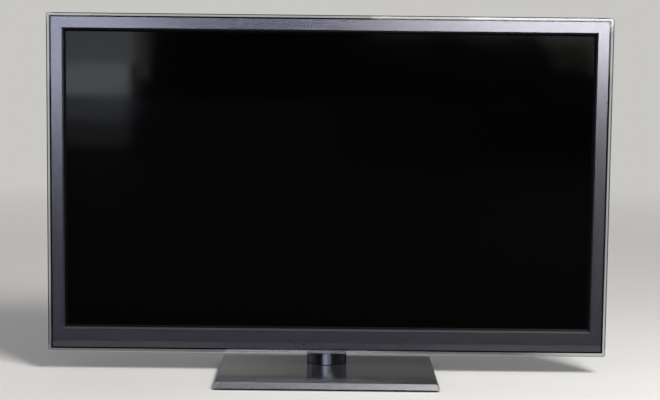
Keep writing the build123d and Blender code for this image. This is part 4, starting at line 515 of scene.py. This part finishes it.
tree.links.new(upright_lines, by_rail.inputs["B"])
hairline = by_rail.outputs["Result"]
line_tone = spread(graphite, hairline, 0.0, 1.0, 0.35, 0.65)
flake = spread(graphite, grain(graphite, 3500.0), 0.0, 0.4, 0.62, 0.75)
lacquer = blend(graphite, line_tone, (0.272, 0.268, 0.308), (0.305, 0.301, 0.342))
lacquer = blend(graphite, flake, lacquer, (0.50, 0.50, 0.54))
strip = along(graphite, "Z", 0.0662, 0.0656)
# The foot strip is painted lighter than the lacquer above it: a painted sheen over its satin roughness.
lacquer = blend(graphite, strip, lacquer, (0.34, 0.335, 0.365))
faces_up, near_top = facing(graphite, "Z", 0.50, 0.62), along(graphite, "Z", 0.745, 0.748)
top_edge = arithmetic(graphite, "MULTIPLY", faces_up, near_top)
faces_right, faces_left = facing(graphite, "X", 0.50, 0.62), facing(graphite, "X", -0.50, -0.62)
faces_aside = arithmetic(graphite, "MAXIMUM", faces_right, faces_left)
near_side = spread(graphite, out_sideways, 0.0, 1.0, 0.0240, 0.0252)
side_edge = arithmetic(graphite, "MULTIPLY", faces_aside, near_side)
painted_shade_outer_edge = arithmetic(graphite, "MAXIMUM", top_edge, side_edge)
tilted_up, below_step = facing(graphite, "Z", 0.20, 0.35), along(graphite, "Z", 0.120, 0.115)
painted_shade_step = arithmetic(graphite, "MULTIPLY", tilted_up, below_step)
# The step's near-black colour is painted shade that dims the key lamp's highlight on it; the step is also
# non-metallic and duller.
lacquer = blend(graphite, painted_shade_step, lacquer, (0.030, 0.030, 0.034))
# The outer edge faces are painted near black: painted shade at the joint with the clear rim.
drive(graphite, "Base Color", blend(graphite, painted_shade_outer_edge, lacquer, (0.012, 0.012, 0.014)))
drive(graphite, "Metallic", arithmetic(graphite, "SUBTRACT", 1.0, painted_shade_step))
strip_duller, step_duller = 0.17, 0.5
line_roughness = spread(graphite, hairline, 0.185, 0.225, 0.35, 0.65)
strip_roughness = arithmetic(graphite, "MULTIPLY_ADD", strip, strip_duller, line_roughness)
drive(graphite, "Roughness", arithmetic(graphite, "MULTIPLY_ADD", painted_shade_step, step_duller, strip_roughness))
relief(graphite, hairline, 0.000002)
dress(graphite, "front_bezel")


# Screen glass: the dark front filter with its anti-reflective coating. It is nearly black, mirrors
# faintly, and carries faint wiping marks.
filter_glass = finish("front_filter", (0.0004, 0.0004, 0.0005), 0.07, Specular_IOR_Level=0.19)
wipe = grain(filter_glass, 7.0, (1.0, 1.0, 2.2), detail=5.0, turn=(0.0, 0.6, 0.0))
lint = grain(filter_glass, 1200.0)
polish(filter_glass, wipe, 0.040, 0.064)
tint(filter_glass, lint, (0.0004, 0.0004, 0.0005), (0.006, 0.006, 0.006), 0.70, 0.82)
dress(filter_glass, "screen_glass")


# Gasket, display plates and heat sheet: foam, grey coated glass and a soft silicone sheet, stacked
# behind the front glass and pressed together by the chassis.
foam = finish("gasket_foam", (0.045, 0.045, 0.047), 0.95)
foam_cells = grain(foam, 2200.0)
tint(foam, foam_cells, (0.03, 0.03, 0.032), (0.07, 0.07, 0.072))
relief(foam, foam_cells, 0.0001)
dress(foam, "glass_gasket")
display = finish("display_plates", (0.06, 0.065, 0.07), 0.12, Specular_IOR_Level=0.5)
tint(display, grain(display, 900.0, (1.0, 1.0, 0.02)), (0.045, 0.05, 0.055), (0.085, 0.09, 0.095))
polish(display, grain(display, 20.0), 0.08, 0.18)
dress(display, "display_front_plate", "display_rear_plate")
silicone = finish("heat_sheet", (0.48, 0.48, 0.46), 0.7)
tint(silicone, grain(silicone, 140.0), (0.44, 0.44, 0.42), (0.52, 0.52, 0.50))
relief(silicone, grain(silicone, 1200.0), 0.00005)
dress(silicone, "heat_sheet")


# Chassis and heat sinks: mill-finish aluminium. The plate is pressed and carries the display, and the
# sinks are extruded and stand on the boards.
aluminium = finish("mill_aluminium", (0.72, 0.73, 0.74), 0.34, 1.0)
rolling = grain(aluminium, 900.0, (0.01, 1.0, 1.0))
tint(aluminium, rolling, (0.64, 0.65, 0.66), (0.76, 0.77, 0.78))
polish(aluminium, rolling, 0.28, 0.44)
relief(aluminium, rolling, 0.00001)
dress(aluminium, "chassis_plate", "heat_sinks")


# Circuit boards: green solder mask over copper tracks, with dark parts and a few amber ones soldered
# to the back face. Amber ribbon films join the display to them.
board = finish("circuit_board", (0.02, 0.14, 0.06), 0.35, Specular_IOR_Level=0.5)
tree = board.node_tree
board_place = tree.nodes.new("ShaderNodeTexCoord")
board_scale = tree.nodes.new("ShaderNodeMapping")
board_scale.inputs["Rotation"].default_value = (math.pi / 2, 0.0, 0.0)
tracks = tree.nodes.new("ShaderNodeTexBrick")
tracks.inputs["Scale"].default_value = 160.0
tracks.inputs["Mortar Size"].default_value = 0.08
tracks.inputs["Brick Width"].default_value = 1.7
tree.links.new(board_place.outputs["Object"], board_scale.inputs["Vector"])
tree.links.new(board_scale.outputs["Vector"], tracks.inputs["Vector"])
mask_colour = blend(board, tracks.outputs["Fac"], (0.012, 0.105, 0.045), (0.03, 0.19, 0.08))
part_kind = spread(board, grain(board, 22.0, (1.0, 0.1, 1.0), detail=0.0), 0.0, 1.0, 0.56, 0.60)
part_colour = blend(board, part_kind, (0.02, 0.02, 0.022), (0.62, 0.50, 0.22))
on_part = along(board, "Y", 0.0571, 0.0573)
drive(board, "Base Color", blend(board, on_part, mask_colour, part_colour))
polish(board, grain(board, 300.0), 0.28, 0.5)
relief(board, tracks.outputs["Fac"], 0.00003)
dress(board, "power_board", "sustain_board", "scan_board", "scan_buffer_board", "main_board", "logic_board")
dress(board, "data_boards", "sensor_board", "key_board")
film = finish("ribbon_film", (0.50, 0.30, 0.09), 0.3)
strands = grain(film, 900.0, (1.0, 0.02, 0.02))
tint(film, strands, (0.42, 0.24, 0.06), (0.60, 0.38, 0.14))
relief(film, strands, 0.00002)
dress(film, "data_ribbons")


# Speakers: closed matt boxes with a long paper cone in a rubber roll, facing down through the slots
# of the inner frame.
matt = finish("matt_moulding", (0.028, 0.028, 0.030), 0.55, Specular_IOR_Level=0.4)
spark = grain(matt, 2400.0)
tint(matt, spark, (0.022, 0.022, 0.024), (0.040, 0.040, 0.042))
polish(matt, spark, 0.48, 0.64)
relief(matt, spark, 0.00005)
dress(matt, "left_speaker_box", "right_speaker_box", "left_speaker_driver", "right_speaker_driver")


# Sensor windows: one dark clear moulding, fixed behind the bezel, whose three studs end in the
# bezel's lower strip.
lens_black = finish("sensor_lens", (0.02, 0.02, 0.028), 0.05, Specular_IOR_Level=0.6)
tint(lens_black, grain(lens_black, 260.0), (0.014, 0.013, 0.020), (0.035, 0.030, 0.045))
polish(lens_black, grain(lens_black, 900.0), 0.03, 0.09)
dress(lens_black, "sensor_window")


# Socket shells: pressed from steel and nickel plated, set in the plates of the side and the
# underside. The mains inlet is a black moulding.
nickel = finish("nickel_shell", (0.70, 0.69, 0.66), 0.24, 1.0)
plating = grain(nickel, 700.0)
tint(nickel, plating, (0.62, 0.61, 0.58), (0.74, 0.73, 0.70))
polish(nickel, plating, 0.18, 0.34)
relief(nickel, grain(nickel, 2500.0), 0.000008)
dress(nickel, "video_sockets", "data_sockets", "card_slot", "network_socket", "aerial_socket", "av_sockets")
dress(matt, "power_inlet")


# Contacts: gold-plated spring strips on the tongues of the side sockets, five on each side of the wide
# tongues and four on one side of the narrow ones, pressed into the moulding.
gold = finish("contact_gold", (0.83, 0.60, 0.24), 0.24, 1.0)
rubbed = grain(gold, 2600.0)
tint(gold, rubbed, (0.76, 0.53, 0.20), (0.88, 0.66, 0.30))
polish(gold, rubbed, 0.18, 0.34)


def rounded_blocks(places, halves, power=0.35, rows=8, columns=20):
    """Blocks with rounded edges: the point at latitude a and longitude b lies at the half sizes times
    c(a)c(b), c(a)s(b) and s(a), where c and s are the cosine and sine raised to that power."""
    latitude = np.linspace(-np.pi / 2, np.pi / 2, rows + 2)[1:-1, None]
    longitude = np.linspace(0.0, 2.0 * np.pi, columns, endpoint=False) + 0.0 * latitude
    c_a, s_a, c_b, s_b = (
        np.sign(wave) * np.abs(wave) ** power
        for wave in (np.cos(latitude), np.sin(latitude), np.cos(longitude), np.sin(longitude))
    )
    local = np.stack((c_a * c_b, c_a * s_b, s_a + 0.0 * s_b), axis=-1)
    return np.array(places)[:, None, None, :] + local * np.array(halves)


tongue_tip, tongue_y, half_length, half_thickness = 0.42810, 0.06785, 0.0030, 0.00012
wide_contacts = [
    (tongue_tip - half_length, tongue_y + side * 0.00081, height + 0.0016 * index)
    for height in (0.191, 0.212, 0.233)
    for side in (-1, 1)
    for index in (-2, -1, 0, 1, 2)
]
narrow_contacts = [
    (tongue_tip - half_length, tongue_y - 0.00084, height + 0.0022 * index)
    for height in (0.254, 0.275)
    for index in (-1.5, -0.5, 0.5, 1.5)
]
wide_shape = rounded_blocks(wide_contacts, (half_length, half_thickness, 0.00035))
shells("wide_contacts", wide_shape, gold, "screen_unit")
narrow_shape = rounded_blocks(narrow_contacts, (half_length, half_thickness, 0.0006))
shells("narrow_contacts", narrow_shape, gold, "screen_unit")


# Network contacts: eight gold-plated spring wires, bent over a comb in the socket, that slope up and
# in from its front.
def wires(across, path, radius, columns=8, closed=False):
    """Round wires in planes square to the X axis: round each point of the path, of Y and Z, a ring
    lies at radius times the cosine along X and times the sine along the path's own normal. The
    direction of a closed path is the difference of its two neighbours."""
    path = np.array(path, dtype=float)
    run = np.roll(path, -1, axis=0) - np.roll(path, 1, axis=0) if closed else np.gradient(path, axis=0)
    run = run / np.linalg.norm(run, axis=1, keepdims=True)
    angle = np.linspace(0.0, 2.0 * np.pi, columns, endpoint=False)
    aside = radius * np.cos(angle) + 0.0 * run[:, :1]
    inward = path[:, None, 0] - run[:, None, 1] * radius * np.sin(angle)
    upwards = path[:, None, 1] + run[:, None, 0] * radius * np.sin(angle)
    shift = np.stack((across, np.zeros(len(across)), np.zeros(len(across))), axis=-1)
    return shift[:, None, None, :] + np.stack((aside, inward, upwards), axis=-1)


# The path is a parabola: start, knee and end weigh (1 - t) squared, 2t(1 - t) and t squared.
bend = np.linspace(0.0, 1.0, 12)[:, None]
wire_start, wire_knee, wire_end = (0.07345, 0.1524), (0.0722, 0.1512), (0.0684, 0.1624)
wire_path = (
    (1 - bend) ** 2 * np.array(wire_start)
    + 2 * bend * (1 - bend) * np.array(wire_knee)
    + bend**2 * np.array(wire_end)
)
socket_x, wire_pitch, wire_radius = 0.248, 0.00102, 0.00022
wire_places = socket_x + wire_pitch * (np.arange(8) - 3.5)
shells("network_contacts", wires(wire_places, wire_path, wire_radius), gold, "screen_unit")


# Aerial thread: a rolled thread on the barrel, with a white insulator and a small split contact in
# its mouth.
def thread_ridge(height, pitch, columns):
    """Ridge of a screw thread, 0 to 1: a triangle wave of the height over the pitch less the angle over
    a full turn, so that the ridge climbs one pitch in each turn."""
    angle = np.linspace(0.0, 2.0 * np.pi, columns, endpoint=False)
    return np.abs(np.mod(height / pitch - angle / (2.0 * np.pi), 1.0) * 2.0 - 1.0)


# Climb, length and pitch are in mm. The ridge fades out over one pitch at both ends, and the last two
# rings are the sleeve's inner wall.
barrel_z, aerial_x, socket_y = 0.1427, 0.274, 0.06785
thread_length, thread_pitch, thread_columns = 7.4, 0.8, 48
root_radius, ridge_height, sleeve_radius = 0.00483, 0.00042, 0.0046
sleeve_start, sleeve_end = 0.0003, 0.0077
climb = np.linspace(0.0, thread_length, 60)[:, None]
ridge = thread_ridge(climb, thread_pitch, thread_columns)
taper = np.minimum(1.0, np.minimum(climb, thread_length - climb) / thread_pitch)
sleeve_wall = np.full((2, thread_columns), sleeve_radius)
thread_radius = np.concatenate((root_radius + ridge_height * ridge * taper, sleeve_wall))
thread_height = np.concatenate((sleeve_start + climb * 0.001, ((sleeve_end,), (sleeve_start,))))
thread_place = [(aerial_x, socket_y, barrel_z)]
thread_shape = turned(thread_place, thread_radius, thread_height, thread_columns)
shells("aerial_thread", thread_shape, nickel, "screen_unit", hollow=True)
insulator = finish("white_insulator", (0.80, 0.79, 0.76), 0.45)
tint(insulator, grain(insulator, 500.0), (0.74, 0.73, 0.69), (0.84, 0.83, 0.80))
plug_radius = np.array((0.0009, 0.0020, 0.00255, 0.00278, 0.00278, 0.0026))[:, None]
plug_height = np.array((0.0016, 0.00155, 0.0015, 0.0017, 0.0050, 0.0052))[:, None]
plug_shape = turned(thread_place, plug_radius, plug_height, 32)
shells("aerial_insulator", plug_shape, insulator, "screen_unit")
pin_radius = np.array((0.00062, 0.00085, 0.00092, 0.00092, 0.0005, 0.00045))[:, None]
pin_height = np.array((0.00105, 0.00100, 0.0012, 0.0030, 0.0030, 0.00115))[:, None]
pin_shape = turned(thread_place, pin_radius, pin_height, 24)
shells("aerial_contact", pin_shape, gold, "screen_unit", hollow=True)


# Picture and sound jacks: six nickel barrels, each with a coloured moulded ring in its mouth and a
# collar of the same colour against the plate, so that a lead finds its place.
first_jack, jack_pitch, jack_count = 0.296, 0.014, 6
jack_x = first_jack + jack_pitch * np.arange(jack_count)
jacks = np.stack((jack_x, np.full(jack_count, socket_y), np.full(jack_count, barrel_z)), axis=-1)
jack_colours = finish("jack_colours", (0.6, 0.4, 0.05), 0.38, Specular_IOR_Level=0.5)
tree = jack_colours.node_tree
steps = tree.nodes.new("ShaderNodeValToRGB")
steps.color_ramp.interpolation = "CONSTANT"
yellow, white, red = (0.66, 0.46, 0.03), (0.70, 0.69, 0.66), (0.46, 0.03, 0.03)
green, blue = (0.04, 0.26, 0.08), (0.03, 0.08, 0.38)
while len(steps.color_ramp.elements) < jack_count:
    steps.color_ramp.elements.new(1.0)
for index, colour in enumerate((yellow, white, red, green, blue, red)):
    steps.color_ramp.elements[index].position = index / jack_count
    steps.color_ramp.elements[index].color = (*colour, 1.0)
tree.links.new(along(jack_colours, "X", 0.289, 0.373), steps.inputs["Fac"])
jack_wear = spread(jack_colours, grain(jack_colours, 1800.0), 0.0, 0.35, 0.5, 0.8)
drive(jack_colours, "Base Color", blend(jack_colours, jack_wear, steps.outputs["Color"], (0.5, 0.5, 0.48)))
polish(jack_colours, grain(jack_colours, 900.0), 0.30, 0.46)
ring_radius = np.array((0.00175, 0.0019, 0.0033, 0.0034, 0.0034, 0.00175))[:, None]
ring_height = np.array((0.0, -0.00022, -0.00022, -0.0001, 0.0006, 0.0006))[:, None]
ring_shape = turned(jacks, ring_radius, ring_height, 32)
shells("jack_rings", ring_shape, jack_colours, "screen_unit", hollow=True)
collar_radius = np.array((0.00415, 0.00535, 0.0056, 0.0056, 0.00415))[:, None]
collar_height = np.array((0.00700, 0.00700, 0.00725, 0.0083, 0.0083))[:, None]
collar_shape = turned(jacks, collar_radius, collar_height, 40)
shells("jack_collars", collar_shape, jack_colours, "screen_unit", hollow=True)


# Inlet blades: three flat brass pins, nickel plated, with rounded ends, pressed into the moulding of
# the mains inlet.
blade_spots = [(-0.307, 0.06939, 0.1592), (-0.293, 0.06939, 0.1592), (-0.300, 0.07339, 0.1592)]
blade_shape = rounded_blocks(blade_spots, (0.00108, 0.00208, 0.0060), power=0.25, rows=12)
shells("inlet_blades", blade_shape, nickel, "screen_unit")


# Keys: seven small moulded caps in the left wall, with rubbed faces. Each has a plain printed mark: a
# ring, a frame, three bars, a minus and a plus, and arrow heads down and up.
key_black = finish("key_caps", (0.03, 0.03, 0.032), 0.38, Specular_IOR_Level=0.5)
key_wear = grain(key_black, 120.0, detail=4.0)
tint(key_black, key_wear, (0.022, 0.022, 0.024), (0.045, 0.045, 0.047))
polish(key_black, key_wear, 0.28, 0.48)
relief(key_black, grain(key_black, 3000.0), 0.00003)
mark_paint = finish("mark_paint", (0.55, 0.55, 0.54), 0.6)
tint(mark_paint, grain(mark_paint, 3000.0), (0.44, 0.44, 0.43), (0.62, 0.62, 0.61))
turn = np.linspace(0.0, 2.0 * np.pi, 24, endpoint=False)
circle = np.stack((1.5 * np.cos(turn), 1.5 * np.sin(turn)), axis=-1)
frame_mark = np.array(((-1.6, -1.1), (1.6, -1.1), (1.6, 1.1), (-1.6, 1.1)))
bar = np.array(((-1.4, 0.0), (0.0, 0.0), (1.4, 0.0)))
arrow = np.array(((-1.3, -0.6), (0.0, 0.7), (1.3, -0.6)))
marks = {
    "power_key": (0.1875, [circle], True),
    "input_key": (0.2095, [frame_mark], True),
    "menu_key": (0.2315, [bar + (0, 1.2), bar, bar - (0, 1.2)], False),
    "volume_down_key": (0.2535, [bar], False),
    "volume_up_key": (0.2755, [bar, bar[:, ::-1]], False),
    "channel_down_key": (0.2975, [arrow * (1, -1)], False),
    "channel_up_key": (0.3195, [arrow], False),
}
key_face, key_y, line_radius = -0.58450, 0.0453, 0.00014
for key, (height, strokes, closed) in marks.items():
    dress(key_black, key)
    paths = [stroke * 0.001 + (key_y, height) for stroke in strokes]
    drawn = [wires([key_face], path, line_radius, closed=closed) for path in paths]
    shells(key + "_mark", np.concatenate(drawn), mark_paint, key, hollow=closed)


# Rear cover: one pressed steel sheet, powder coated matt black, with rows of punched vents. It closes
# the set from behind and is screwed to the inner frame.
powder = finish("powder_coat", (0.040, 0.040, 0.043), 0.58, Specular_IOR_Level=0.45)
handling = grain(powder, 6.0, detail=5.0)
tint(powder, handling, (0.033, 0.033, 0.036), (0.050, 0.050, 0.053))
polish(powder, handling, 0.50, 0.66)
relief(powder, grain(powder, 1300.0), 0.00008)
dress(powder, "rear_cover")


# Cover screws: fifteen blackened round-head screws round the cover's flat border, driven forward into
# the inner frame's bosses.
border_y, side_x, top_z, foot_z, side_height = 0.0581, 0.578, 0.746, 0.0565, 0.6895
cover_screw_spots = [(share * side_x, border_y, top_z) for share in (-0.9, -0.45, 0.0, 0.45, 0.9)]
cover_screw_spots += [(share * side_x, border_y, foot_z) for share in (-0.95, -0.35, 0.35, 0.95)]
cover_screw_spots += [
    (side * side_x, border_y, foot_z + share * side_height)
    for side in (-1, 1)
    for share in (0.08, 0.5, 0.92)
]
cover_screw_shape = screws(
    cover_screw_spots,
    head_radius=0.0040,
    head_height=0.0022,
    shank_radius=0.0014,
    length=0.0175,
    across=(1, 0, 0),
    over=(0, 0, 1),
    outward=(0, 1, 0),
)
cover_heads = shells("cover_screw_heads", cover_screw_shape, black_screw, "screen_unit")
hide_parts("cover_screws")


# Wall-mount threads: an M8 thread cut into each of the four zinc-plated bushes, open to the back. It
# fades in over one pitch from the mouth, and its last two rings are the wall behind it. Depths in mm.
bush_places = [(x, 0.0868, z) for x in (-0.200, 0.200) for z in (0.2095, 0.6095)]
cut_pitch, cut_columns = 1.25, 40
bore_radius, cut_height, cut_wall = 0.00398, 0.0006, 0.00415
cut_down = np.linspace(0.0, 12.0, 49)[:, None]
cut = thread_ridge(cut_down, cut_pitch, cut_columns)
fade_in = np.minimum(1.0, cut_down / cut_pitch)
behind_cut = np.full((2, cut_columns), cut_wall)
cut_radius = np.concatenate((bore_radius - cut_height * cut * fade_in, behind_cut))
cut_depth = np.concatenate((-0.001 * cut_down, ((-0.0120,), (0.0,))))
cut_shape = turned(bush_places, cut_radius, cut_depth, cut_columns, (1, 0, 0), (0, 0, 1), (0, 1, 0))
shells("bush_threads", cut_shape, zinc, "screen_unit", hollow=True)
